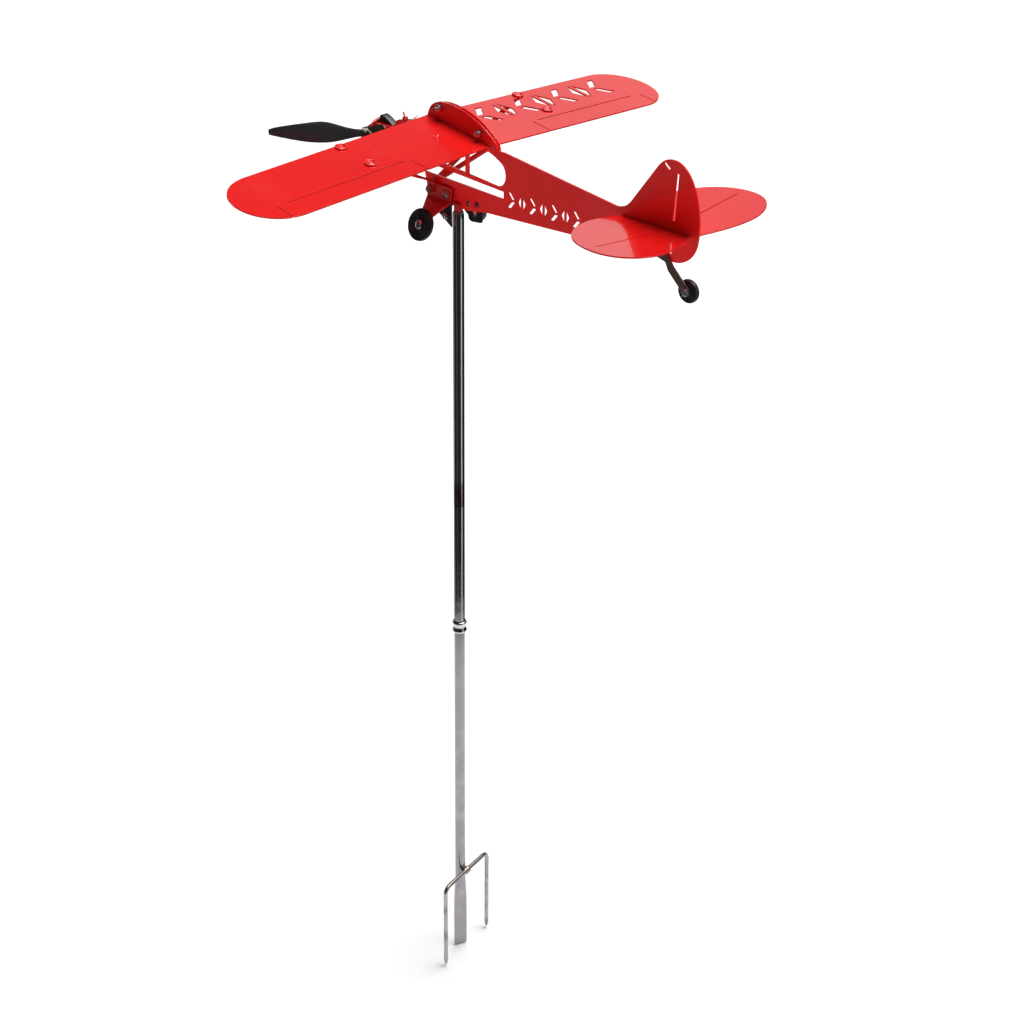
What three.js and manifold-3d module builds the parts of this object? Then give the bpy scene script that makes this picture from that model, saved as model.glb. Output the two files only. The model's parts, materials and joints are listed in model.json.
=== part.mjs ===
// Garden whirligig: a sheet metal toy aeroplane that turns on a chromed pole with a forked ground stake.
// Millimetres. +Z is up, the nose points along -Y, the aeroplane's left wing along +X.
// The origin is the middle of the stake blade's lower end, on the axis of the pole.
import * as THREE from 'three';
import { mergeVertices } from 'three/addons/utils/BufferGeometryUtils.js';
import Module from 'manifold-3d';

const wasm = await Module();
wasm.setup();

// Fits
const GAP = 0.3;                    // clearance between pieces that touch
const SHEET = 1.5;                  // fuselage sheet thickness
const WING_SHEET = 1.2;             // wing, tail, leg and strut sheet thickness
const BOLT_D = 3;                   // all through bolts
const NUT_ACROSS = 5.6;             // nut, across the flats
const NUT_THICK = 2.4;

// Pole and stake
const POLE_TOP = 748;               // height of the pole top above the blade's end
const POLE_D = 9.5;
const POLE_WALL = 1;
const FERRULE_Z = 355;              // underside of the coupling between lower and middle tube
const FERRULE_H = 11;
const SLIP_Z = 482;                 // joint between the middle and upper tube
const SPIGOT = 26;                  // depth of each plug-in joint
const BLADE_TOP = 80;               // where the lower tube starts to flatten
const BLADE_TAPER = 30;             // length over which it flattens
const BLADE_W = 12.6;
const BLADE_TURN = -22;             // degrees the blade is turned from the X axis
const BLADE_T = 2;
const BLADE_CORNER = 2.2;           // rounding of the blade's lower corners
const FORK_W = 73;                  // across the two prongs
const FORK_Z = 91.5;                // crossbar height, on the round tube above the blade
const FORK_TIP = 1.5;               // height of the prong tips
const FORK_WIRE = 4;
const WELD_T = 1.1;                 // thickness of filler round the crossbar
const FORK_TURN = 10.7;             // degrees the crossbar is turned from the X axis

// Aeroplane
const SPAN = 450;
const CHORD = 70;
const WING_Y = 1.8;                 // middle of the chord
const WING_Z = 68.4;                // wing underside at mid chord, above the pole top
const INCIDENCE = 8.4;              // degrees, leading edge up
const DROOP = 2.3;                  // degrees each wing hangs down towards its tip
const HUMP_H = 18;                  // height of the wing root flange
const AILERON_Y = 14.6;             // hinge slot, behind mid chord
const AILERON_IN = [68.2, 75];      // edge notch and slot end nearest the fuselage
const AILERON_OUT = [0.5, 10.4];    // slot end and edge notch, outward from where the tip starts to curve
const SLOT_W = 1.2;                 // hinge slots in the wings and stabilisers
const FIN_SLOT_W = 2.3;             // hinge slots in the fin
const STRUT_X = 98;                 // strut fixings on the wing
const STRUT_Y = [-29, 4.8];
const STRUT_W = 5.5;
const GEAR_BOLT_Y = [-27, -8.5];
const GEAR_BOLT_Z = 15;
const WING_BOLT = [[-22, 10.6], [23.5, 6.6]];   // along the chord, above the wing
const WHEEL_D = 26.6;
const WHEEL_W = 3.4;
const WHEEL_Y = -12.5;
const LEG_REACH = 25;               // outward reach of the leg, to its lower bend
const LEG_Z = [8, -1];              // leg height at the fuselage and at the lower bend
const SPLAY = 20;                   // degrees the wheels lean
const TAIL_WHEEL_D = 18.4;
const TAIL_WHEEL_AT = [240, 1];
const TAIL_HINGE_Y = 219;           // elevator hinge slots
const STAB_HALF = 90;               // reach of each tailplane half
const STAB_Z = 42;
const STAB_RISE = 6;                // degrees each tailplane half rises to its tip
const PROP_D = 230;
const PROP_Y = -98;
const THRUST_Z = 44;
const PROP_REST = 13;               // degrees the left blade stands above level
const SHAFT_D = 4;
const SPINDLE_D = 3.4;
const SPINDLE_DEPTH = 46;           // length of the spindle inside the pole

const HALF_SHEET = SHEET / 2;
const SKIN = HALF_SHEET + GAP;      // first face outside the fuselage sheet
const rad = THREE.MathUtils.degToRad;

const group = new THREE.Group();

function add(name, shape, colour, roughness, metalness) {
  const geometry = shape.isBufferGeometry ? shape : fromSolid(shape);
  const material = new THREE.MeshStandardMaterial({ color: colour, roughness, metalness });
  const mesh = new THREE.Mesh(geometry, material);
  mesh.name = name;
  group.add(mesh);
}

// Boolean helpers
function toSolid(geometry) {
  const bare = geometry.clone();
  bare.deleteAttribute('normal');
  bare.deleteAttribute('uv');
  const merged = mergeVertices(bare, 1e-4);
  const mesh = new wasm.Mesh({
    numProp: 3,
    vertProperties: new Float32Array(merged.attributes.position.array),
    triVerts: new Uint32Array(merged.index.array),
  });
  return new wasm.Manifold(mesh);
}

function fromSolid(solid) {
  const mesh = solid.getMesh();
  const geometry = new THREE.BufferGeometry();
  geometry.setAttribute('position', new THREE.BufferAttribute(new Float32Array(mesh.vertProperties), 3));
  geometry.setIndex(new THREE.BufferAttribute(new Uint32Array(mesh.triVerts), 1));
  const flat = geometry.toNonIndexed();
  flat.computeVertexNormals();
  return flat;
}

function join(...parts) {
  return parts.map((part) => (part.isBufferGeometry ? toSolid(part) : part)).reduce((a, b) => a.add(b));
}

function cut(body, ...tools) {
  const start = body.isBufferGeometry ? toSolid(body) : body;
  return tools.reduce((a, b) => a.subtract(b.isBufferGeometry ? toSolid(b) : b), start);
}

// Shape helpers
function polygon(points) {
  return new THREE.Shape(points.map(([x, y]) => new THREE.Vector2(x, y)));
}

function circlePath(x, y, r, sides = 14) {
  const points = [];
  for (let i = 0; i < sides; i += 1) {
    const a = (-2 * Math.PI * i) / sides;
    points.push(new THREE.Vector2(x + r * Math.cos(a), y + r * Math.sin(a)));
  }
  return new THREE.Path(points);
}

// Outlines may run either way round: they are turned anticlockwise before they are extruded.
function extrude(shape, depth, segments = 10) {
  const outline = shape.getPoints(segments);
  if (THREE.ShapeUtils.isClockWise(outline)) outline.reverse();
  const tidy = new THREE.Shape(outline);
  tidy.holes = shape.holes;
  return new THREE.ExtrudeGeometry(tidy, { depth, bevelEnabled: false, curveSegments: segments });
}

// Upright sheet parallel to the fuselage: shape x is Y, shape y is Z, thickness runs along +X from x0.
function sideSheet(shape, x0, thickness, segments) {
  const geometry = extrude(shape, thickness, segments);
  const axes = new THREE.Matrix4().makeBasis(
    new THREE.Vector3(0, 1, 0), new THREE.Vector3(0, 0, 1), new THREE.Vector3(1, 0, 0));
  return geometry.applyMatrix4(axes).translate(x0, 0, 0);
}

function box(x0, x1, y0, y1, z0, z1) {
  return new THREE.BoxGeometry(x1 - x0, y1 - y0, z1 - z0)
    .translate((x0 + x1) / 2, (y0 + y1) / 2, (z0 + z1) / 2);
}

// Turned piece from radius and height pairs, about the vertical axis.
function turned(profile, segments = 20) {
  const points = profile.map(([r, h]) => new THREE.Vector2(r, h));
  return new THREE.LatheGeometry(points, segments).rotateX(Math.PI / 2);
}

function ring(outer, inner, h0, h1, segments) {
  return turned([[inner, h0], [outer, h0], [outer, h1], [inner, h1], [inner, h0]], segments);
}

function alongX(geometry, x, y, z) {
  return geometry.rotateY(Math.PI / 2).translate(x, y, z);
}

// Bolt along +X: domed head at the low end, plain shank.
function bolt(x0, x1, headR = BOLT_D * 0.95, headH = 1.8) {
  const r = BOLT_D / 2;
  return turned([[0, x0 - headH], [headR * 0.7, x0 - headH], [headR, x0 - headH * 0.45], [headR, x0],
    [r, x0], [r, x1 - 0.4], [r - 0.4, x1], [0, x1]], 12);
}

function nut(x0) {
  const r = NUT_ACROSS / Math.sqrt(3);
  const shape = new THREE.Shape();
  for (let i = 0; i < 6; i += 1) {
    const a = (i * Math.PI) / 3;
    const at = [r * Math.cos(a), r * Math.sin(a)];
    if (i === 0) shape.moveTo(...at);
    else shape.lineTo(...at);
  }
  shape.closePath();
  shape.holes.push(circlePath(0, 0, BOLT_D / 2 + GAP));
  return extrude(shape, NUT_THICK, 8).translate(0, 0, x0);
}

// Stencil row: split chevrons alternate with split diamonds. Returns closed point lists,
// centred on the origin, u along the row and v across it.
function stencilRow(count, length, height) {
  const cell = length / count;
  const web = cell * 0.07;
  const stroke = cell * 0.3;
  const reach = cell * 0.2;
  const h = height / 2;
  const motifs = [];
  for (let i = 0; i < count; i += 1) {
    const u = (i + 0.5 - count / 2) * cell;
    const a = u - stroke / 2;
    for (const s of [-1, 1]) {
      if (i % 2 === 0) {
        motifs.push([[a + reach, s * web], [a + reach + stroke, s * web], [a - reach + stroke, s * h],
          [a - reach, s * h]]);
      } else {
        motifs.push([[u + s * web, -h], [u + s * cell * 0.38, 0], [u + s * web, h]]);
      }
    }
  }
  return motifs;
}

const SILVER = '#c9ccd1';
const RED = '#c81414';
const BLACK = '#1a1b1d';

// ---- Stake and pole -------------------------------------------------------------------------
const POLE_R = POLE_D / 2;
const BORE_R = POLE_R - POLE_WALL;
const PLUG_R = BORE_R - GAP;

// Lower tube: round and closed, then pressed flat into the stake blade.
function lowerTube() {
  const top = FERRULE_Z + FERRULE_H / 2 - GAP;
  const tube = turned([[0, BLADE_TOP], [POLE_R, BLADE_TOP], [POLE_R, top], [BORE_R, top],
    [BORE_R, top - SPIGOT - GAP], [0, top - SPIGOT - GAP]], 24);
  const w = BLADE_W / 2;
  const blade = polygon([[-w, BLADE_CORNER], [-w + BLADE_CORNER * 0.3, BLADE_CORNER * 0.3], [-w + BLADE_CORNER, 0],
    [w - BLADE_CORNER, 0], [w - BLADE_CORNER * 0.3, BLADE_CORNER * 0.3], [w, BLADE_CORNER],
    [w, BLADE_TOP - BLADE_TAPER], [POLE_R * 0.99, BLADE_TOP + 2], [-POLE_R * 0.99, BLADE_TOP + 2],
    [-w, BLADE_TOP - BLADE_TAPER]]);
  const flat = extrude(blade, BLADE_T).rotateX(Math.PI / 2).translate(0, BLADE_T / 2, 0)
    .rotateZ(rad(BLADE_TURN));
  const low = BLADE_TOP - BLADE_TAPER;
  const wedge = polygon([[-POLE_R * 0.8, BLADE_TOP + 2], [-BLADE_T / 2, low], [BLADE_T / 2, low],
    [POLE_R * 0.8, BLADE_TOP + 2]]);
  const throat = sideSheet(wedge, -POLE_R * 0.6, POLE_R * 1.2).rotateZ(rad(BLADE_TURN));
  return join(tube, flat, throat);
}

// Fork: one bent wire, a crossbar with two prongs pointing down.
function fork() {
  const r = FORK_WIRE / 2;
  const x = FORK_W / 2 - r;
  const bend = 7;
  const path = new THREE.CurvePath();
  const v = (a, b) => new THREE.Vector3(a, 0, b);
  path.add(new THREE.LineCurve3(v(-x, FORK_TIP + 6), v(-x, FORK_Z - bend)));
  path.add(new THREE.QuadraticBezierCurve3(v(-x, FORK_Z - bend), v(-x, FORK_Z), v(-x + bend, FORK_Z)));
  path.add(new THREE.LineCurve3(v(-x + bend, FORK_Z), v(x - bend, FORK_Z)));
  path.add(new THREE.QuadraticBezierCurve3(v(x - bend, FORK_Z), v(x, FORK_Z), v(x, FORK_Z - bend)));
  path.add(new THREE.LineCurve3(v(x, FORK_Z - bend), v(x, FORK_TIP + 6)));
  const section = new THREE.Shape();
  section.absarc(0, 0, r, 0, Math.PI * 2, false);
  const wire = new THREE.ExtrudeGeometry(section, { steps: 44, extrudePath: path, curveSegments: 5 });
  const tip = (side) => turned([[0, FORK_TIP], [r * 0.4, FORK_TIP + 0.4], [r * 0.98, FORK_TIP + 6.4],
    [0, FORK_TIP + 6.6]], 12).translate(side * x, 0, 0);
  const offset = POLE_R + r + GAP;
  return join(wire, tip(-1), tip(1)).translate([0, offset, 0]).rotate([0, 0, FORK_TURN]);
}

// Weld bead: a saddle of filler over the crossbar, against the lower tube.
function weld() {
  const r = FORK_WIRE / 2;
  const outer = new THREE.CylinderGeometry(r + GAP + WELD_T, r + GAP + WELD_T, POLE_D, 20).rotateZ(Math.PI / 2);
  const inner = new THREE.CylinderGeometry(r + GAP, r + GAP, POLE_D + 2, 20).rotateZ(Math.PI / 2);
  const y = POLE_R + r + GAP;
  const bead = cut(outer.translate(0, y, FORK_Z), inner.translate(0, y, FORK_Z),
    ring(POLE_R + GAP, 0, FORK_Z - 20, FORK_Z + 20, 24));
  return bead.rotate([0, 0, FORK_TURN]);
}

// Ferrule: sleeve with two raised rings round the lower joint.
function ferrule() {
  const inner = POLE_R + GAP;
  const body = inner + 0.7;
  const lip = inner + 1.3;
  const z = FERRULE_Z;
  const h = FERRULE_H;
  return turned([[inner, z], [lip, z], [lip, z + h * 0.25], [body, z + h * 0.36], [body, z + h * 0.64],
    [lip, z + h * 0.75], [lip, z + h], [inner, z + h], [inner, z]], 24);
}

function middleTube() {
  const low = FERRULE_Z + FERRULE_H / 2;
  return turned([[0, low - SPIGOT], [PLUG_R, low - SPIGOT], [PLUG_R, low], [POLE_R, low], [POLE_R, SLIP_Z],
    [BORE_R, SLIP_Z], [BORE_R, SLIP_Z - SPIGOT - GAP], [0, SLIP_Z - SPIGOT - GAP]], 24);
}

function upperTube() {
  const floor = POLE_TOP - SPINDLE_DEPTH - 14;
  return turned([[0, SLIP_Z + GAP - SPIGOT], [PLUG_R, SLIP_Z + GAP - SPIGOT], [PLUG_R, SLIP_Z + GAP],
    [POLE_R, SLIP_Z + GAP], [POLE_R, POLE_TOP - 0.6], [POLE_R - 0.4, POLE_TOP], [BORE_R, POLE_TOP],
    [BORE_R, floor], [0, floor]], 24);
}

const BEARING_BORE = SPINDLE_D / 2 + GAP;
const BEARING_LIP = 1.3;

function poleBearing() {
  const top = POLE_TOP + GAP + BEARING_LIP;
  return turned([[BEARING_BORE, POLE_TOP - 14], [PLUG_R, POLE_TOP - 14], [PLUG_R, POLE_TOP + GAP],
    [POLE_R - 0.5, POLE_TOP + GAP], [POLE_R - 0.5, top], [BEARING_BORE, top], [BEARING_BORE, POLE_TOP - 14]]);
}

function thrustPlug() {
  const top = POLE_TOP - SPINDLE_DEPTH - GAP;
  return turned([[0, top - 12], [PLUG_R, top - 12], [PLUG_R, top - 1], [1.2, top], [0, top]]);
}

add('lower_tube', lowerTube(), '#b9b4ba', 0.3, 1);
add('ground_fork', fork(), '#8d8a8c', 0.4, 1);
add('fork_weld', weld(), '#7a6a5c', 0.5, 1);
add('pole_ferrule', ferrule(), SILVER, 0.2, 1);
add('middle_tube', middleTube(), SILVER, 0.15, 1);
add('upper_tube', upperTube(), SILVER, 0.12, 1);
add('pole_bearing', poleBearing(), '#6f7277', 0.4, 1);
add('thrust_plug', thrustPlug(), '#9a9da1', 0.3, 1);

// ---- Pivot on the aeroplane -----------------------------------------------------------------
const Z0 = POLE_TOP;                              // aeroplane heights are measured from the pole top
const BUSH_R = 3.7;
const BUSH_LOW = GAP + BEARING_LIP + 0.4;
const BUSH_TOP = 9;
const KEEL_Z = 5;                                 // lower edge of the fuselage above the pole
const KEEL_HOLES = [[11.7, 10.8], [21.3, 12.4]];
const KEEL_HOLE_R = 2.9;

function spindle() {
  const r = SPINDLE_D / 2;
  const top = KEEL_Z - GAP;
  return turned([[0, -SPINDLE_DEPTH], [r * 0.5, -SPINDLE_DEPTH], [r, -SPINDLE_DEPTH + 1.2], [r, top], [0, top]], 20)
    .translate(0, 0, Z0);
}

function pivotBush() {
  const low = BUSH_LOW;
  const body = ring(BUSH_R, SPINDLE_D / 2 + GAP, low, BUSH_TOP, 28);
  return cut(body, box(-SKIN, SKIN, -9, 9, KEEL_Z - GAP, BUSH_TOP + 1)).translate([0, 0, Z0]);
}

// Guard plate: hangs from the rear leg bolt, just ahead of the pole.
function guardPlate() {
  const rear = -(POLE_R + 1.1);
  const shape = new THREE.Shape();
  shape.moveTo(rear, -13.5);
  shape.lineTo(rear, 18.5);
  shape.lineTo(GEAR_BOLT_Y[1] - 4, 18.5);
  shape.lineTo(GEAR_BOLT_Y[1] - 5, 8);
  shape.lineTo(-20.5, 1);
  shape.quadraticCurveTo(-22, -3.6, -19, -5.2);
  shape.lineTo(rear, -13.5);
  shape.holes.push(circlePath(GEAR_BOLT_Y[1], GEAR_BOLT_Z, BOLT_D / 2 + GAP));
  shape.holes.push(circlePath(-11.2, -4.4, BOLT_D / 2 + GAP));
  return sideSheet(shape, SKIN, WING_SHEET, 8).translate(0, 0, Z0);
}

// Keel bracket: hangs behind the fuselage just aft of the pole. Its two holes meet those of the fuselage,
// and a slot opens below the fuselage's edge.
function keelBracket() {
  const shape = new THREE.Shape();
  shape.moveTo(6.8, 17);
  shape.lineTo(7.1, 9);
  shape.lineTo(9.9, 1);
  shape.quadraticCurveTo(10.4, -4, 14.4, -4);
  shape.lineTo(23.4, -2.9);
  shape.quadraticCurveTo(26, -2.6, 25.7, 0.4);
  shape.lineTo(24.8, 17);
  for (const [y, z] of KEEL_HOLES) shape.holes.push(circlePath(y, z, KEEL_HOLE_R));
  const slot = new THREE.Path();
  slot.moveTo(14.3, 4.6);
  slot.lineTo(15.2, 2);
  slot.quadraticCurveTo(15.8, 0.7, 17.2, 0.8);
  slot.quadraticCurveTo(19.9, 1, 19.8, 3);
  slot.lineTo(19.2, 5.4);
  slot.quadraticCurveTo(18.6, 6.6, 16.8, 6.4);
  slot.quadraticCurveTo(14.2, 6.2, 14.3, 4.6);
  shape.holes.push(slot);
  return sideSheet(shape, -SKIN - WING_SHEET, WING_SHEET, 8).translate(0, 0, Z0);
}

add('pivot_spindle', spindle(), SILVER, 0.25, 1);
add('pivot_bush', pivotBush(), RED, 0.3, 0);
add('guard_plate', guardPlate(), BLACK, 0.5, 0);
add('keel_bracket', keelBracket(), BLACK, 0.5, 0);
const guardAt = (g) => g.rotateY(Math.PI / 2).translate(0, -11.2, Z0 - 4.4);
add('guard_bolt', guardAt(bolt(SKIN - GAP, SKIN + WING_SHEET + GAP + NUT_THICK + 0.8)), SILVER, 0.3, 1);
add('guard_nut', guardAt(nut(SKIN + WING_SHEET + GAP)), SILVER, 0.3, 1);

// ---- Fuselage -------------------------------------------------------------------------------
const RAIL = [[-36, 34.2], [51.3, 30.6]];        // lower edge of the window rail
const NOSE_BACK = -88;

function wingHeight(y) {
  return WING_Z - Math.tan(rad(INCIDENCE)) * (y - WING_Y);
}

function humpCurve(path, drop, toFront) {
  const tilt = ([y, h]) => [WING_Y + y, wingHeight(WING_Y + y) + WING_SHEET + h - drop];
  const front = tilt([-CHORD / 2, 0]);
  const crest = tilt([-6, HUMP_H]);
  const tail = tilt([CHORD / 2 + 9, 0]);
  if (toFront) {
    path.lineTo(...tail);
    path.bezierCurveTo(...tilt([CHORD / 2 + 6, HUMP_H * 0.5]), ...tilt([16, HUMP_H * 1.04]), ...crest);
    path.bezierCurveTo(...tilt([-CHORD / 2 + 12, HUMP_H]), ...tilt([-CHORD / 2, HUMP_H * 0.6]), ...front);
  }
  return [front, crest, tail];
}

function fuselageSheet() {
  const s = new THREE.Shape();
  s.moveTo(-38, 26.5);
  s.lineTo(-33.5, 8);
  s.quadraticCurveTo(-32.5, KEEL_Z, -28, KEEL_Z);
  s.lineTo(12, KEEL_Z);
  s.lineTo(32.6, 8.5);
  s.lineTo(205.5, 20);
  s.lineTo(226, 20.2);
  s.bezierCurveTo(237, 20.8, 244.5, 28, 247, 38);
  s.bezierCurveTo(250, 52, 247.5, 69, 242, 81);
  s.bezierCurveTo(238, 90, 231, 97.3, 222, 97.3);
  s.bezierCurveTo(214, 97.3, 210.5, 94, 206, 88);
  s.lineTo(183, 57);
  s.quadraticCurveTo(177.5, 49.4, 168, 49.2);
  s.lineTo(52, 62.5);
  humpCurve(s, 0.6, true);
  s.lineTo(-53, 64);
  s.lineTo(-66, 62.8);
  s.quadraticCurveTo(-72, 62, -72, 56);
  s.lineTo(NOSE_BACK, 55);
  s.lineTo(NOSE_BACK, 35);
  s.lineTo(-60, 33);
  s.lineTo(...RAIL[0]);
  s.lineTo(...RAIL[1]);
  s.lineTo(51.3, 24.6);
  s.lineTo(-38, 26.5);

  const front = new THREE.Path();
  front.moveTo(-30, 38.6);
  front.lineTo(8.6, 36.2);
  front.lineTo(8.6, 58);
  front.quadraticCurveTo(8.6, 60, 6, 60);
  front.lineTo(-22, 60);
  front.quadraticCurveTo(-33, 59, -34, 46);
  front.quadraticCurveTo(-34, 39, -30, 38.6);
  s.holes.push(front);

  const rear = new THREE.Path();
  rear.moveTo(12.4, 35.9);
  rear.lineTo(44, 33.6);
  rear.bezierCurveTo(49, 33.6, 53.5, 38, 53.2, 44);
  rear.quadraticCurveTo(53, 51, 47, 54);
  rear.quadraticCurveTo(38, 59, 32, 59.6);
  rear.lineTo(12.4, 60);
  rear.lineTo(12.4, 35.9);
  s.holes.push(rear);

  for (const [y, z] of KEEL_HOLES) s.holes.push(circlePath(y, z, KEEL_HOLE_R));
  s.holes.push(circlePath(222.2, 26.6, 1.2));
  for (const y of GEAR_BOLT_Y) s.holes.push(circlePath(y, GEAR_BOLT_Z, BOLT_D / 2 + GAP));
  for (const [y, z] of wingBolts()) s.holes.push(circlePath(y, z, BOLT_D / 2 + GAP));
  for (const [y, z] of STAB_RIVETS) s.holes.push(circlePath(y, z, RIVET_R + GAP));
  s.holes.push(circlePath(...TAIL_BOLT, BOLT_D / 2 + GAP));
  const slot = (a, b, w) => {
    const d = new THREE.Vector2(b[0] - a[0], b[1] - a[1]).normalize().multiplyScalar(w / 2);
    return new THREE.Path([[a, 1], [b, 1], [b, -1], [a, -1]]
      .map(([p, k]) => new THREE.Vector2(p[0] - k * d.y, p[1] + k * d.x)));
  };
  s.holes.push(slot([226.2, 88], [224, 52], FIN_SLOT_W));
  s.holes.push(slot([223, 34], [222.2, 30], FIN_SLOT_W));
  s.holes.push(slot([213.3, 93.4], [218.2, 89.4], FIN_SLOT_W));
  const sheet = sideSheet(s, -HALF_SHEET, SHEET, 10).translate(0, 0, Z0);
  const stencils = stencilRow(7, 80.5, 12.8).map((motif) => {
    const placed = motif.map(([u, v]) => [93.8 + u, 26.4 + v + 0.03 * u]);
    return sideSheet(polygon(placed), -SHEET, 2 * SHEET).translate(0, 0, Z0);
  });
  return cut(sheet, ...stencils, ring(SHAFT_D / 2 + 3.2, 0, 60, 120, 20).rotateX(Math.PI / 2).translate(0, 0, Z0 + THRUST_Z));
}

function wingBolts() {
  const c = Math.cos(rad(INCIDENCE));
  const s = Math.sin(rad(INCIDENCE));
  return WING_BOLT.map(([y, h]) => [WING_Y + y * c + h * s, WING_Z + WING_SHEET + h * c - y * s]);
}

const RIVET_R = 1.3;
const STAB_RIVETS = [[186, STAB_Z - 5.2], [212, STAB_Z - 5.2]];
const TAIL_BOLT = [209, 25.4];

add('fuselage_plate', fuselageSheet(), RED, 0.22, 0);

// ---- Wings ----------------------------------------------------------------------------------
const TIP_X = SPAN / 2 - CHORD / 2;              // where the rounded tip starts
const STENCIL_X = 31;                            // inner end of the stencil row
const STENCIL_LENGTH = TIP_X - STENCIL_X - 1;

function wing(side, lettered) {
  const c = CHORD / 2;
  const k = c * 0.56;
  const s = new THREE.Shape();
  s.moveTo(side * SKIN, -c);
  s.lineTo(side * TIP_X, -c);
  s.bezierCurveTo(side * (TIP_X + k), -c, side * (TIP_X + c), -k, side * (TIP_X + c), 0);
  s.bezierCurveTo(side * (TIP_X + c), k, side * (TIP_X + k), c, side * TIP_X, c);
  s.lineTo(side * SKIN, c);
  const x1 = AILERON_IN[1];
  const x2 = TIP_X + AILERON_OUT[0];
  s.holes.push(new THREE.Path([[x1, -1], [x2, -1], [x2, 1], [x1, 1]]
    .map(([x, v]) => new THREE.Vector2(side * x, AILERON_Y + v * SLOT_W / 2))));
  for (const y of STRUT_Y) s.holes.push(circlePath(side * STRUT_X, y - WING_Y, RIVET_R + GAP));
  const row = lettered ? stencilRow(7, STENCIL_LENGTH, 27) : [];
  const middle = side * (STENCIL_X + STENCIL_LENGTH / 2);
  const stencils = row.map((motif) => extrude(polygon(motif), 4).translate(middle, -13, -1));
  const plate = extrude(s, WING_SHEET, 14);
  const notch = (x) => box(x - SLOT_W / 2, x + SLOT_W / 2, AILERON_Y + 1.2, c + 1, -2, 4);
  const sheet = cut(plate, notch(side * AILERON_IN[0]), notch(side * (TIP_X + AILERON_OUT[1])), ...stencils)
    .rotate([0, side * DROOP, 0]);
  const root = box(Math.min(side * SKIN, side * (SKIN + 3)), Math.max(side * SKIN, side * (SKIN + 3)),
    -c, c, -0.2, WING_SHEET);
  const body = join(sheet, root);
  const flange = new THREE.Shape();
  flange.moveTo(-c, 0);
  flange.bezierCurveTo(-c, HUMP_H * 0.6 + WING_SHEET, -c + 12, HUMP_H + WING_SHEET, -6, HUMP_H + WING_SHEET);
  flange.bezierCurveTo(16, HUMP_H * 1.04 + WING_SHEET, c + 6, HUMP_H * 0.5 + WING_SHEET, c + 9, WING_SHEET);
  flange.lineTo(c + 9, 0);
  for (const [y, h] of WING_BOLT) flange.holes.push(circlePath(y, WING_SHEET + h, BOLT_D / 2 + GAP));
  const upright = sideSheet(flange, side > 0 ? SKIN : -SKIN - WING_SHEET, WING_SHEET, 12);
  return join(body, upright).rotate([-INCIDENCE, 0, 0]).translate([0, WING_Y, Z0 + WING_Z]);
}

add('left_wing', wing(1, false), RED, 0.2, 0);
add('right_wing', wing(-1, true), RED, 0.2, 0);

wingBolts().forEach(([y, z], i) => {
  const name = ['front', 'rear'][i];
  const x0 = -SKIN - WING_SHEET - GAP;
  const x1 = SKIN + WING_SHEET + GAP;
  const place = (g) => alongX(g, 0, y, Z0 + z);
  add(`wing_bolt_${name}`, place(bolt(x0, x1 + NUT_THICK + 3)), SILVER, 0.3, 1);
  add(`wing_nut_${name}`, place(nut(x1)), SILVER, 0.3, 1);
});

// ---- Wing struts ----------------------------------------------------------------------------
const APEX_Z = 22;

// Underside of a wing at a strut fixing.
function wingUnder(side, y) {
  const p = new THREE.Vector3(side * STRUT_X, y - WING_Y, 0);
  p.applyAxisAngle(new THREE.Vector3(0, 1, 0), rad(side * DROOP));
  p.applyAxisAngle(new THREE.Vector3(1, 0, 0), rad(-INCIDENCE));
  return p.add(new THREE.Vector3(0, WING_Y, WING_Z));
}

// Flat bar between two points, its width kept level along Y.
function bar(from, to, width, thick) {
  const along = to.clone().sub(from);
  const length = along.length();
  const x = along.normalize();
  const z = new THREE.Vector3().crossVectors(x, new THREE.Vector3(0, 1, 0)).normalize();
  const y = new THREE.Vector3().crossVectors(z, x);
  const mid = from.clone().add(to).multiplyScalar(0.5);
  const frame = new THREE.Matrix4().makeBasis(x, y, z).setPosition(mid);
  return new THREE.BoxGeometry(length, width, thick).applyMatrix4(frame);
}

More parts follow.
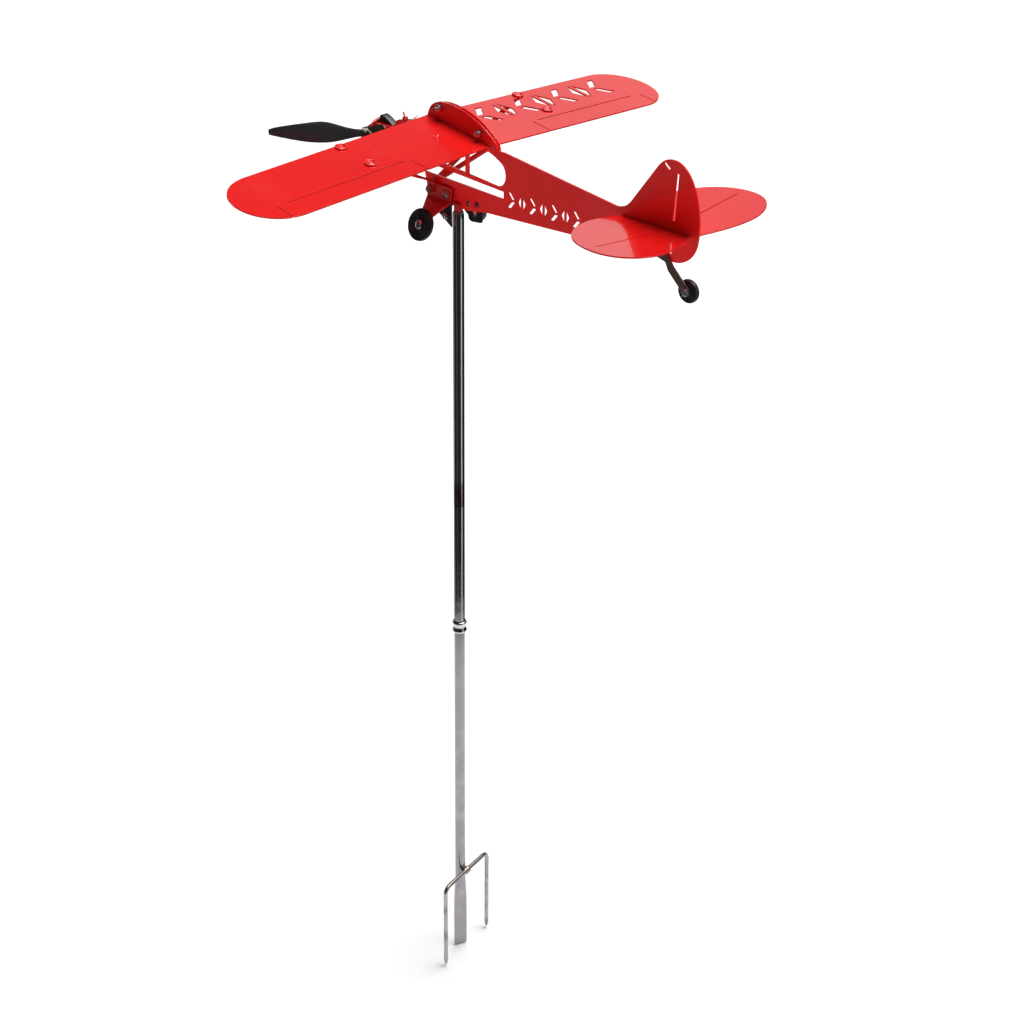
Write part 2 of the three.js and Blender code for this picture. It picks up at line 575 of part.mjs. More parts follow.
function strut(side) {
  const inner = side > 0 ? SKIN + WING_SHEET * 2 + GAP * 2 : SKIN + WING_SHEET + GAP;
  const mid = inner + WING_SHEET / 2;
  const y0 = GEAR_BOLT_Y[0];
  const tab = new THREE.Shape();
  tab.absarc(y0, GEAR_BOLT_Z, 4, Math.PI, 0, false);
  tab.lineTo(y0 + 5.2, APEX_Z + 1);
  tab.lineTo(y0 - 2.8, APEX_Z + 1);
  tab.holes.push(circlePath(y0, GEAR_BOLT_Z, BOLT_D / 2 + GAP));
  const plate = sideSheet(tab, side > 0 ? inner : -inner - WING_SHEET, WING_SHEET, 8);
  const parts = [plate];
  STRUT_Y.forEach((y, i) => {
    const top = wingUnder(side, y).add(new THREE.Vector3(0, 0, -GAP - WING_SHEET / 2));
    const elbow = top.clone().add(new THREE.Vector3(-side * 2.6, 0, -0.4));
    const start = new THREE.Vector3(side * mid, y0 + 0.4 + i * 2, APEX_Z);
    parts.push(bar(start, elbow, STRUT_W, WING_SHEET));
    const pad = turned([[RIVET_R + GAP, -WING_SHEET / 2], [STRUT_W * 0.75, -WING_SHEET / 2],
      [STRUT_W * 0.75, WING_SHEET / 2], [RIVET_R + GAP, WING_SHEET / 2],
      [RIVET_R + GAP, -WING_SHEET / 2]], 20);
    pad.rotateY(rad(side * DROOP)).rotateX(rad(-INCIDENCE)).translate(top.x, top.y, top.z);
    const clear = ring(RIVET_R + GAP, 0, -3, 3, 12).translate(top.x, top.y, top.z);
    parts.push(cut(pad, clear));
  });
  const pin = STRUT_Y.map((y) => {
    const top = wingUnder(side, y);
    return ring(RIVET_R + GAP, 0, -6, 3, 12).rotateY(rad(side * DROOP)).rotateX(rad(-INCIDENCE))
      .translate(top.x, top.y, top.z);
  });
  return cut(join(...parts), ...pin).translate([0, 0, Z0]);
}

// Rivet through wing and strut, with a raised ring head on top.
function strutRivet(side, y) {
  const under = wingUnder(side, y);
  const top = WING_SHEET + GAP;
  const low = -GAP * 2 - WING_SHEET;
  const g = turned([[0, low - 1], [RIVET_R + 0.9, low - 1], [RIVET_R + 0.9, low], [RIVET_R, low], [RIVET_R, top],
    [5, top], [5, top + 0.5], [3.9, top + 1.1], [2.6, top + 1.1], [1.9, top + 0.5], [0, top + 0.5]], 16);
  g.rotateY(rad(side * DROOP)).rotateX(rad(-INCIDENCE));
  return g.translate(under.x, under.y, under.z + Z0);
}

add('left_strut', strut(1), RED, 0.3, 0);
add('right_strut', strut(-1), RED, 0.3, 0);
for (const [side, word] of [[1, 'left'], [-1, 'right']]) {
  add(`${word}_rivet_front`, strutRivet(side, STRUT_Y[0]), RED, 0.3, 0);
  add(`${word}_rivet_rear`, strutRivet(side, STRUT_Y[1]), RED, 0.3, 0);
}

// ---- Undercarriage --------------------------------------------------------------------------
const TAB = 11;                                   // length of the tab that carries the wheel
const LEG_TAB_HALF = 6;
const tabEnd = [LEG_REACH + Math.sin(rad(SPLAY)) * TAB, LEG_Z[1] - Math.cos(rad(SPLAY)) * TAB];
const AXLE_IN = TAB - 5;                          // axle hole, down the tab

function leg(side) {
  const inner = side > 0 ? SKIN + WING_SHEET + GAP : SKIN;
  const t = WING_SHEET;
  const flange = new THREE.Shape();
  flange.moveTo(-32, LEG_Z[0] - 0.6);
  flange.lineTo(-5.2, LEG_Z[0] - 0.6);
  flange.lineTo(-4.2, 18);
  flange.quadraticCurveTo(-4.4, 20, -7, 20);
  flange.lineTo(-30, 20);
  flange.quadraticCurveTo(-32, 20, -32, 18);
  for (const y of GEAR_BOLT_Y) flange.holes.push(circlePath(y, GEAR_BOLT_Z, BOLT_D / 2 + GAP));
  const upright = sideSheet(flange, side > 0 ? inner : -inner - t, t, 6);
  // side profile of the bent leg, cut to the tapered plan of the sheet
  const n = [Math.cos(rad(SPLAY)) * t, Math.sin(rad(SPLAY)) * t];
  const profile = polygon([[inner, LEG_Z[0] - 0.6], [inner, LEG_Z[0] + t], [LEG_REACH + n[0], LEG_Z[1] + t * 0.7],
    [tabEnd[0] + n[0], tabEnd[1] + n[1]], tabEnd, [LEG_REACH, LEG_Z[1]]].map(([x, z]) => [side * x, z]));
  const run = extrude(profile, 40).rotateX(Math.PI / 2).translate(0, 4, 0);
  const plan = polygon([[0, -32], [inner + t, -32], [LEG_REACH, WHEEL_Y - LEG_TAB_HALF],
    [LEG_REACH + 12, WHEEL_Y - LEG_TAB_HALF], [LEG_REACH + 12, WHEEL_Y + LEG_TAB_HALF],
    [LEG_REACH, WHEEL_Y + LEG_TAB_HALF], [inner + t, -5.2], [0, -5.2]].map(([x, y]) => [side * x, y]));
  const mask = toSolid(extrude(plan, 60).translate(0, 0, -25));
  const bent = toSolid(run).intersect(mask);
  const hole = ring(BOLT_D / 2 + GAP, 0, -6, 6, 16).rotateY(rad(side * (90 - SPLAY)));
  const at = axleAt(0);
  return cut(join(upright, bent), hole.translate(side * at[0], WHEEL_Y, at[1])).translate([0, 0, Z0]);
}

// Point on the axle line, at a distance outward from the tab's inner face.
function axleAt(out) {
  const c = Math.cos(rad(SPLAY));
  const s = Math.sin(rad(SPLAY));
  return [LEG_REACH + s * AXLE_IN + c * out, LEG_Z[1] - c * AXLE_IN + s * out];
}

function onAxle(geometry, side) {
  const at = axleAt(0);
  return geometry.rotateY(rad(side * (90 - SPLAY))).translate(side * at[0], WHEEL_Y, Z0 + at[1]);
}

function wheelDisc(r, bore, width, from) {
  const e = width * 0.28;
  return turned([[bore, from], [r - e, from], [r, from + e], [r, from + width - e], [r - e, from + width],
    [bore, from + width], [bore, from]], 24);
}

function axleBolt(length, cap) {
  const r = BOLT_D / 2;
  const inner = -GAP - NUT_THICK - 0.6;
  return turned([[0, inner], [r - 0.4, inner], [r, inner + 0.4], [r, length], [cap, length],
    [cap, length + 0.9], [cap * 0.55, length + 1.9], [0, length + 2.1]], 14);
}

add('left_leg', leg(1), RED, 0.25, 0);
add('right_leg', leg(-1), RED, 0.25, 0);
const wheelFrom = WING_SHEET + GAP;
for (const [side, word] of [[1, 'left'], [-1, 'right']]) {
  add(`${word}_wheel`, onAxle(wheelDisc(WHEEL_D / 2, BOLT_D / 2 + GAP, WHEEL_W, wheelFrom), side), BLACK, 0.5, 0);
  add(`${word}_axle`, onAxle(axleBolt(wheelFrom + WHEEL_W + GAP, 3.7), side), SILVER, 0.2, 1);
  add(`${word}_axle_nut`, onAxle(nut(-GAP - NUT_THICK), side), SILVER, 0.3, 1);
}
GEAR_BOLT_Y.forEach((y, i) => {
  const name = ['front', 'rear'][i];
  const strutSkin = i === 0 ? WING_SHEET + GAP : 0;
  const x0 = -SKIN - WING_SHEET - GAP - strutSkin;
  const x1 = SKIN + WING_SHEET * 2 + GAP * 2 + strutSkin;
  const place = (g) => alongX(g, 0, y, Z0 + GEAR_BOLT_Z);
  add(`leg_bolt_${name}`, place(bolt(x0, x1 + NUT_THICK + 1.4)), SILVER, 0.3, 1);
  add(`leg_nut_${name}`, place(nut(x1)), SILVER, 0.3, 1);
});

// ---- Tailplane ------------------------------------------------------------------------------
function stabiliser(side) {
  const s = new THREE.Shape();
  const tip = side * STAB_HALF;
  s.moveTo(side * SKIN, 175);
  s.bezierCurveTo(tip * 0.21, 168, tip * 0.42, 169, tip * 0.63, 178);
  s.bezierCurveTo(tip * 0.86, 188, tip, 205, tip, 226);
  s.bezierCurveTo(tip, 246, tip * 0.79, 257, tip * 0.58, 256);
  s.bezierCurveTo(tip * 0.4, 255, tip * 0.26, 250, side * 8, 243);
  s.lineTo(side * SKIN, 239);
  const slotEnds = [side * 22, side * (STAB_HALF - 10)];
  s.holes.push(new THREE.Path([[slotEnds[0], -1], [slotEnds[1], -1], [slotEnds[1], 1], [slotEnds[0], 1]]
    .map(([x, v]) => new THREE.Vector2(x, TAIL_HINGE_Y + v * SLOT_W / 2))));
  const plate = toSolid(extrude(s, WING_SHEET, 12)).rotate([0, -side * STAB_RISE, 0]);
  const x0 = Math.min(side * SKIN, side * (SKIN + WING_SHEET));
  const flange = new THREE.Shape();
  flange.moveTo(178, -8);
  flange.lineTo(219, -8);
  flange.lineTo(222, 0.9);
  flange.lineTo(176, 0.9);
  for (const [y, z] of STAB_RIVETS) flange.holes.push(circlePath(y, z - STAB_Z, RIVET_R + GAP));
  return join(plate, sideSheet(flange, x0, WING_SHEET, 6)).translate([0, 0, Z0 + STAB_Z]);
}

add('left_stabiliser', stabiliser(1), RED, 0.2, 0);
add('right_stabiliser', stabiliser(-1), RED, 0.2, 0);
STAB_RIVETS.forEach(([y, z], i) => {
  const out = SKIN + WING_SHEET + GAP;
  const g = turned([[0, -out - 0.9], [2.1, -out - 0.9], [2.4, -out], [RIVET_R, -out], [RIVET_R, out], [2.4, out],
    [2.1, out + 0.9], [0, out + 0.9]], 16);
  add(`tail_rivet_${['front', 'rear'][i]}`, alongX(g, 0, y, Z0 + z), RED, 0.3, 0);
});

// ---- Tail wheel -----------------------------------------------------------------------------
const TAIL_SPRING_T = 1.2;

function tailSpring() {
  const [wy, wz] = TAIL_WHEEL_AT;
  const s = new THREE.Shape();
  s.moveTo(TAIL_BOLT[0] - 4, TAIL_BOLT[1] + 2.5);
  s.lineTo(TAIL_BOLT[0] - 4, TAIL_BOLT[1] - 2.5);
  s.quadraticCurveTo(TAIL_BOLT[0] - 3.5, TAIL_BOLT[1] - 4, TAIL_BOLT[0], TAIL_BOLT[1] - 4);
  s.lineTo(219, 19);
  s.lineTo(222, 13);
  s.lineTo(wy - 3.2, wz - 1.6);
  s.quadraticCurveTo(wy - 0.6, wz - 4.4, wy + 2.4, wz - 2.4);
  s.quadraticCurveTo(wy + 4.2, wz, wy + 2.6, wz + 2.4);
  s.lineTo(227, 17.4);
  s.quadraticCurveTo(224, 21.5, 222, 24);
  s.lineTo(TAIL_BOLT[0] + 2, TAIL_BOLT[1] + 3.6);
  s.quadraticCurveTo(TAIL_BOLT[0] - 3.5, TAIL_BOLT[1] + 4, TAIL_BOLT[0] - 4, TAIL_BOLT[1] + 2.5);
  s.holes.push(circlePath(...TAIL_BOLT, BOLT_D / 2 + GAP));
  s.holes.push(circlePath(wy, wz, BOLT_D / 2 + GAP));
  return sideSheet(s, SKIN, TAIL_SPRING_T, 6).translate(0, 0, Z0);
}

const TAIL_WHEEL_W = 4;
const tailWheelX = SKIN - GAP - TAIL_WHEEL_W;
add('tail_spring', tailSpring(), '#6b6058', 0.4, 1);
add('tail_wheel', alongX(wheelDisc(TAIL_WHEEL_D / 2, BOLT_D / 2 + GAP, TAIL_WHEEL_W, tailWheelX), 0,
  TAIL_WHEEL_AT[0], Z0 + TAIL_WHEEL_AT[1]), BLACK, 0.5, 0);
add('tail_axle', alongX(bolt(tailWheelX - GAP, SKIN + TAIL_SPRING_T + GAP + NUT_THICK + 0.6), 0,
  TAIL_WHEEL_AT[0], Z0 + TAIL_WHEEL_AT[1]), SILVER, 0.3, 1);
add('tail_axle_nut', alongX(nut(SKIN + TAIL_SPRING_T + GAP), 0, TAIL_WHEEL_AT[0], Z0 + TAIL_WHEEL_AT[1]),
  SILVER, 0.3, 1);
add('tail_bolt', alongX(bolt(-SKIN, SKIN + TAIL_SPRING_T + GAP + NUT_THICK + 0.8), 0, TAIL_BOLT[0],
  Z0 + TAIL_BOLT[1]), SILVER, 0.3, 1);
add('tail_nut', alongX(nut(SKIN + TAIL_SPRING_T + GAP), 0, TAIL_BOLT[0], Z0 + TAIL_BOLT[1]), SILVER, 0.3, 1);

// ---- Engine and propeller -------------------------------------------------------------------
const COWL = [8.5, -87.5, -70, 34.5, 56.5];       // half width, front, rear, low, top
const DISC_Y = [-91, -89];
const SHAFT_BORE = SHAFT_D / 2 + GAP;
const HUB_R = 7.6;
const HUB_HALF = 4.5;                             // half the hub's length

function aboutY(geometry) {
  return geometry.rotateX(Math.PI / 2).translate(0, 0, Z0 + THRUST_Z);
}

function cowl() {
  const [w, y0, y1, z0, z1] = COWL;
  const block = box(-w, w, y0, y1, Z0 + z0, Z0 + z1);
  const plate = aboutY(turned([[0, -DISC_Y[1]], [15, -DISC_Y[1]], [15.6, -DISC_Y[1] + 0.6],
    [15.6, -DISC_Y[0]], [0, -DISC_Y[0]]], 36));
  const neck = aboutY(turned([[0, -y0 - 1], [9, -y0 - 1], [9, -DISC_Y[1] + 0.5], [0, -DISC_Y[1] + 0.5]], 24));
  const bore = aboutY(ring(SHAFT_BORE, 0, 50, 110, 20));
  const sheetSlot = box(-SKIN, SKIN, NOSE_BACK - GAP, 0, Z0 + 30, Z0 + 60);
  return cut(join(block, plate, neck), bore, sheetSlot);
}

// Cylinder standing out sideways from the cowl, with cooling fins and a spark plug.
function cylinder(side) {
  const from = COWL[0] + GAP;
  const profile = [[0, from], [6.6, from], [6.6, from + 1.2], [4.6, from + 1.4]];
  for (let i = 0; i < 4; i += 1) {
    const x = from + 3.2 + i * 3.1;
    profile.push([4.6, x], [6.9, x], [6.9, x + 0.9], [4.6, x + 0.9]);
  }
  const end = from + 3.2 + 4 * 3.1;
  profile.push([4.6, end], [6.2, end + 0.2], [6.2, end + 2.2], [4.8, end + 3.2], [0, end + 3.4]);
  const barrel = turned(profile, 16);
  const plug = turned([[0, 0], [1.5, 0], [1.5, 3.5], [0.8, 4], [0.6, 8], [0, 8.6]], 12)
    .rotateY(rad(-35)).translate(-4.6, 0, end + 1.2);
  return join(barrel, plug).rotate([0, side * 90, 0]).translate([0, -79, Z0 + 51]);
}

function scoop() {
  const s = new THREE.Shape();
  const z = COWL[4] + GAP;
  s.moveTo(-86, z);
  s.bezierCurveTo(-89.5, z + 3, -88.6, z + 6.4, -84.6, z + 6.2);
  s.bezierCurveTo(-81, z + 5.4, -76, z + 2.4, -72.6, z);
  return sideSheet(s, -3.2, 6.4, 10).translate(0, 0, Z0);
}

// Bent wire pin standing on the top edge of the nose, clipped over the sheet.
function fuelWire() {
  const clip = box(-SKIN - 0.8, SKIN + 0.8, -62.5, -59.5, 61, 66);
  const slot = box(-SKIN, SKIN, -70, -50, 50, 63.9);
  const pin = turned([[0, 64], [0.7, 64], [0.7, 69.6], [0, 70]], 10);
  return cut(join(clip, pin.rotateX(rad(22)).translate(0, -37, 5)), slot).translate([0, 0, Z0]);
}

function blade() {
  const r = PROP_D / 2;
  const s = new THREE.Shape();
  s.moveTo(4, -3.6);
  s.bezierCurveTo(24, -4.4, 34, -9.5, 56, -10);
  s.bezierCurveTo(84, -10.5, 108, -8, r - 2.5, -3);
  s.quadraticCurveTo(r, -1, r, 1);
  s.bezierCurveTo(r - 4, 4, 92, 8, 62, 8.4);
  s.bezierCurveTo(38, 8.5, 24, 4.5, 4, 3.6);
  return extrude(s, 2.2, 10).translate(0, 0, -1.1).rotateX(Math.PI / 2 - rad(24));
}

function propeller() {
  const [r, h] = [HUB_R, HUB_HALF];
  const hub = turned([[SHAFT_BORE, -h], [r - 0.6, -h], [r, 0.6 - h], [r, h - 0.6], [r - 0.6, h], [SHAFT_BORE, h],
    [SHAFT_BORE, -h]], 28).rotateX(Math.PI / 2);
  const left = blade().rotateY(rad(-PROP_REST));
  const right = blade().rotateY(Math.PI - rad(PROP_REST));
  const core = ring(SHAFT_BORE, 0, -20, 20, 28).rotateX(Math.PI / 2);
  return cut(join(hub, left, right), core).translate([0, PROP_Y, Z0 + THRUST_Z]);
}

function shaft() {
  const r = SHAFT_D / 2;
  return aboutY(turned([[0, 64], [r + 1.6, 64], [r + 1.6, 67], [r, 67], [r, -PROP_Y + 11.5], [0, -PROP_Y + 12]], 20));
}

// Hub nut: six-sided, so its bore is measured across the flats.
function hubNut() {
  const a = -PROP_Y + HUB_HALF + GAP;
  const r = (SHAFT_D / 2 + GAP) / Math.cos(Math.PI / 6);
  return aboutY(turned([[r, a], [5.6, a], [5.6, a + 1], [4.2, a + 1.2], [4.2, a + 5], [r + 0.6, a + 8.4],
    [r, a + 8.6], [r, a]], 6));
}

function propWasher() {
  const front = -PROP_Y - HUB_HALF - GAP;
  return aboutY(ring(5.4, SHAFT_BORE, front - 1.4, front, 24));
}

add('cowl', cowl(), RED, 0.25, 0);
add('left_cylinder', cylinder(1), '#5c534c', 0.5, 1);
add('right_cylinder', cylinder(-1), '#5c534c', 0.5, 1);
add('air_scoop', scoop(), '#26292b', 0.5, 0);
add('fuel_wire', fuelWire(), '#7a1010', 0.4, 0);
add('prop_shaft', shaft(), SILVER, 0.25, 1);
add('prop_washer', propWasher(), SILVER, 0.3, 1);
add('propeller', propeller(), BLACK, 0.35, 0);
add('hub_nut', hubNut(), SILVER, 0.25, 1);

export default group;
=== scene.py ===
import json
import math

import bmesh
import bpy
from mathutils import Matrix, Vector


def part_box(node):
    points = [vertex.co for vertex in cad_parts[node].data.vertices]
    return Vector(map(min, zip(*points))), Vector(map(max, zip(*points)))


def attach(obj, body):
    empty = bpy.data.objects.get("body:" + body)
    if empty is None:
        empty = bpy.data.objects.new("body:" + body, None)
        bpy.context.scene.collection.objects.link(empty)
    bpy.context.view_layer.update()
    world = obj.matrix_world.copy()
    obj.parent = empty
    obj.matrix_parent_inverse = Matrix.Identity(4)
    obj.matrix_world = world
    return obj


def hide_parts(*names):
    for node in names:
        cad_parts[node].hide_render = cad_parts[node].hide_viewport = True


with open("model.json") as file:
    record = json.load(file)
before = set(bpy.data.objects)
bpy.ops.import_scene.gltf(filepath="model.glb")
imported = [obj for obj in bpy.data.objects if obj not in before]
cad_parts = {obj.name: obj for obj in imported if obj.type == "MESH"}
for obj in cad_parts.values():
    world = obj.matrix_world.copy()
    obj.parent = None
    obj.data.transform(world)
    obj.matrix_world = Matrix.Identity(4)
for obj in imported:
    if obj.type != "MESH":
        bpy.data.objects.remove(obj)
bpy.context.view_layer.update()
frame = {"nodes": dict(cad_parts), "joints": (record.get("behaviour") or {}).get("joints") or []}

# ---- Pole tubes -----------------------------------------------------------------------------
# Three lengths of thin chromed steel tube that plug into one another. Each is cut square, its rim
# lightly chamfered. The lowest one is pressed flat at its foot, and makes the stake blade.

MM = 0.001
CLEARANCE = 0.3
TUBE_R = 4.75
TUBE_WALL = 1.0
TUBE_CHAMFER = 0.35
SPIGOT = 26.0
SPIGOT_R = 3.45
TUBE_STEPS = 72
PLUG_DEPTH = 14.0
BLADE_HALF_W = 6.3
BLADE_HALF_T = 1.0
BLADE_CORNER = 2.2
BLADE_SQUARE = 6
PRESS_LOW, PRESS_HIGH = 46.0, 84.0
BLADE_TURN = math.radians(-22)
SLIP_TINT = 27.0


def new_group(name, inputs, outputs):
    """An empty shader group with named sockets, and its two ends."""
    group = bpy.data.node_groups.new(name, "ShaderNodeTree")
    for label, kind, value in inputs:
        socket = group.interface.new_socket(label, in_out="INPUT", socket_type=kind)
        socket.default_value = value
    for label, kind in outputs:
        group.interface.new_socket(label, in_out="OUTPUT", socket_type=kind)
    start = group.nodes.new("NodeGroupInput")
    end = group.nodes.new("NodeGroupOutput")
    return group, start, end


def noise(tree, scale, stretch=(1, 1, 1), detail=3.0, roughness=0.55):
    """Noise in the object's own metres, its grain stretched by dividing each axis."""
    place = tree.nodes.new("ShaderNodeTexCoord")
    turn = tree.nodes.new("ShaderNodeMapping")
    turn.inputs["Scale"].default_value = stretch
    field = tree.nodes.new("ShaderNodeTexNoise")
    field.inputs["Scale"].default_value = scale
    field.inputs["Detail"].default_value = detail
    field.inputs["Roughness"].default_value = roughness
    tree.links.new(place.outputs["Object"], turn.inputs["Vector"])
    tree.links.new(turn.outputs["Vector"], field.inputs["Vector"])
    return field.outputs["Fac"]


def band(tree, value, low, high, to_low=0.0, to_high=1.0):
    """Maps low..high of a value onto to_low..to_high, smoothly and clamped."""
    node = tree.nodes.new("ShaderNodeMapRange")
    node.interpolation_type = "SMOOTHSTEP"
    node.inputs["From Min"].default_value = low
    node.inputs["From Max"].default_value = high
    node.inputs["To Min"].default_value = to_low
    node.inputs["To Max"].default_value = to_high
    tree.links.new(value, node.inputs["Value"])
    return node.outputs["Result"]


def combine(tree, operation, first, second):
    """One maths node; either side may be a number."""
    node = tree.nodes.new("ShaderNodeMath")
    node.operation = operation
    for socket, value in zip(node.inputs, (first, second)):
        if isinstance(value, (int, float)):
            socket.default_value = value
        else:
            tree.links.new(value, socket)
    return node.outputs[0]


def blend_colours(tree, amount, first, second):
    """Mixes two colours by an amount."""
    node = tree.nodes.new("ShaderNodeMix")
    node.data_type = "RGBA"
    tree.links.new(amount, node.inputs["Factor"])
    tree.links.new(first, node.inputs[6])
    tree.links.new(second, node.inputs[7])
    return node.outputs[2]


def metal_surface():
    """Bare or plated metal: lengthwise drawing lines, cloudy patches and small handling marks."""
    group, start, end = new_group(
        "metal_surface",
        [("Colour", "NodeSocketColor", (0.6, 0.6, 0.6, 1)),
         ("Stain", "NodeSocketColor", (0.3, 0.3, 0.3, 1)),
         ("Stain Amount", "NodeSocketFloat", 0.3),
         ("Roughness", "NodeSocketFloat", 0.15),
         ("Roughness Spread", "NodeSocketFloat", 0.1)],
        [("Colour", "NodeSocketColor"), ("Roughness", "NodeSocketFloat"), ("Height", "NodeSocketFloat")])
    clouds = band(group, noise(group, 55), 0.42, 0.72)
    lines = noise(group, 900, stretch=(1, 1, 0.03), detail=2.0)
    marks = band(group, noise(group, 420, detail=4.0), 0.60, 0.74)
    stained = combine(group, "MULTIPLY", clouds, start.outputs["Stain Amount"])
    colour = blend_colours(group, stained, start.outputs["Colour"], start.outputs["Stain"])
    uneven = combine(group, "ADD", combine(group, "MULTIPLY", clouds, 0.6),
                     combine(group, "MULTIPLY", marks, 0.8))
    spread = combine(group, "MULTIPLY", uneven, start.outputs["Roughness Spread"])
    gloss = combine(group, "ADD", start.outputs["Roughness"], spread)
    height = combine(group, "ADD", combine(group, "MULTIPLY", lines, 0.4),
                     combine(group, "MULTIPLY", marks, -0.5))
    group.links.new(colour, end.inputs["Colour"])
    group.links.new(gloss, end.inputs["Roughness"])
    group.links.new(height, end.inputs["Height"])
    return group


def finish(name, group, bump, metallic=0.0, coat=0.0, coat_roughness=0.03, **values):
    """A material whose colour, roughness and bump come from a finish group."""
    material = bpy.data.materials.new(name)
    material.use_nodes = True
    tree = material.node_tree
    shader = tree.nodes["Principled BSDF"]
    shader.inputs["Metallic"].default_value = metallic
    shader.inputs["Coat Weight"].default_value = coat
    shader.inputs["Coat Roughness"].default_value = coat_roughness
    surface = tree.nodes.new("ShaderNodeGroup")
    surface.node_tree = group
    for label, value in values.items():
        socket = surface.inputs[label.replace("_", " ")]
        socket.default_value = (*value, 1.0) if isinstance(value, tuple) else value
    relief = tree.nodes.new("ShaderNodeBump")
    relief.inputs["Strength"].default_value = 1.0
    relief.inputs["Distance"].default_value = bump * MM
    tree.links.new(surface.outputs["Colour"], shader.inputs["Base Color"])
    tree.links.new(surface.outputs["Roughness"], shader.inputs["Roughness"])
    tree.links.new(surface.outputs["Height"], relief.inputs["Height"])
    tree.links.new(relief.outputs["Normal"], shader.inputs["Normal"])
    return material


METAL = metal_surface()


def ring_of(bm, points):
    """A closed loop of edges through the points."""
    verts = [bm.verts.new(point) for point in points]
    return [bm.edges.new((verts[i - 1], verts[i])) for i in range(len(verts))]


def loft(rings):
    """A closed skin over a row of rings, capped at both ends."""
    bm = bmesh.new()
    loops = [ring_of(bm, ring) for ring in rings]
    for low, high in zip(loops, loops[1:]):
        bmesh.ops.bridge_loops(bm, edges=low + high)
    for end in (loops[0], loops[-1]):
        bmesh.ops.edgeloop_fill(bm, edges=end)
    return bm


def lathe(profile, steps=TUBE_STEPS):
    """A closed turned piece about Z, from radius and height pairs."""
    bm = bmesh.new()
    verts = [bm.verts.new((radius, 0, height)) for radius, height in profile]
    edges = [bm.edges.new(pair) for pair in zip(verts, verts[1:])]
    bmesh.ops.spin(bm, geom=verts + edges, cent=(0, 0, 0), axis=(0, 0, 1), angle=2 * math.pi,
                   steps=steps, use_merge=True)
    bmesh.ops.remove_doubles(bm, verts=bm.verts, dist=1e-3)
    return bm


def closed(profile):
    """The profile, led back to its first point."""
    return profile + profile[:1]


def piece(name, bm, material, body, slot, *stands_for, place=None, crease=32.0, flat_above=None):
    """Turns a mesh in millimetres into a finished piece that rides on a body."""
    bmesh.ops.transform(bm, matrix=place or Matrix.Scale(MM, 4), verts=bm.verts)
    bmesh.ops.recalc_face_normals(bm, faces=bm.faces)
    mesh = bpy.data.meshes.new(name)
    bm.to_mesh(mesh)
    bm.free()
    mesh.set_sharp_from_angle(angle=math.radians(crease))
    mesh.polygons.foreach_set("use_smooth", [flat_above is None or face.area < flat_above * MM * MM
                                             for face in mesh.polygons])
    mesh.materials.append(material)
    made = bpy.data.objects.new(name, mesh)
    bpy.context.scene.collection.objects.link(made)
    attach(made, body)
    if stands_for:
        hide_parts(*stands_for)


def heights(node):
    """Lowest and highest point of a node, in millimetres."""
    low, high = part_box(node)
    return low.z / MM, high.z / MM


def oval(half_w, half_t, squareness, z, count=48):
    """A level ring between a circle (2) and a rectangle (large), turned with the blade."""
    points = []
    for i in range(count):
        a = 2 * math.pi * i / count
        x = math.copysign(abs(math.cos(a)) ** (2 / squareness), math.cos(a)) * half_w
        y = math.copysign(abs(math.sin(a)) ** (2 / squareness), math.sin(a)) * half_t
        points.append(Matrix.Rotation(BLADE_TURN, 3, "Z") @ Vector((x, y, z)))
    return points


def pressed_tube(top):
    """The lower tube with its bore, flattened towards its foot."""
    rings = []
    for i in range(7):
        a = math.radians(90 * i / 6)
        inset = BLADE_CORNER * (1 - math.sin(a))
        rings.append(oval(BLADE_HALF_W - inset, BLADE_HALF_T - 0.3 * (1 - math.sin(a)), BLADE_SQUARE,
                          BLADE_CORNER * (1 - math.cos(a))))
    rings += [oval(BLADE_HALF_W, BLADE_HALF_T, BLADE_SQUARE, z) for z in (15, 30, PRESS_LOW)]
    for i in range(1, 9):
        t = i / 8
        ease = t * t * (3 - 2 * t)
        rings.append(oval(BLADE_HALF_W + (TUBE_R - BLADE_HALF_W) * ease,
                          BLADE_HALF_T + (TUBE_R - BLADE_HALF_T) * ease ** 0.8,
                          BLADE_SQUARE - (BLADE_SQUARE - 2) * ease,
                          PRESS_LOW + (PRESS_HIGH - PRESS_LOW) * t))
    bore = TUBE_R - TUBE_WALL
    for radius, z in ((TUBE_R, 150), (TUBE_R, 250), (TUBE_R, top - TUBE_CHAMFER),
                      (TUBE_R - TUBE_CHAMFER, top), (bore, top), (bore, top - SPIGOT - CLEARANCE)):
        rings.append(oval(radius, radius, 2, z))
    return loft(rings)


def tube_with_spigot(shoulder, top, bore_floor, spigot_end):
    """A tube whose lower end is necked down to plug into the one below."""
    bore = TUBE_R - TUBE_WALL
    return lathe([(0, spigot_end), (SPIGOT_R - 0.3, spigot_end), (SPIGOT_R, spigot_end + 0.4),
                  (SPIGOT_R, shoulder - 0.1), (SPIGOT_R + 0.2, shoulder), (TUBE_R - TUBE_CHAMFER, shoulder),
                  (TUBE_R, shoulder + TUBE_CHAMFER), (TUBE_R, (shoulder + top) / 2),
                  (TUBE_R, top - TUBE_CHAMFER), (TUBE_R - TUBE_CHAMFER * 0.3, top - TUBE_CHAMFER * 0.3),
                  (TUBE_R - TUBE_CHAMFER, top), (bore, top), (bore, bore_floor), (0, bore_floor)])


def chromed(name, tint, stain_amount, roughness):
    return finish(name, METAL, 0.004, metallic=1.0, Colour=tint, Stain=(0.42, 0.40, 0.42),
                  Stain_Amount=stain_amount, Roughness=roughness, Roughness_Spread=0.12)


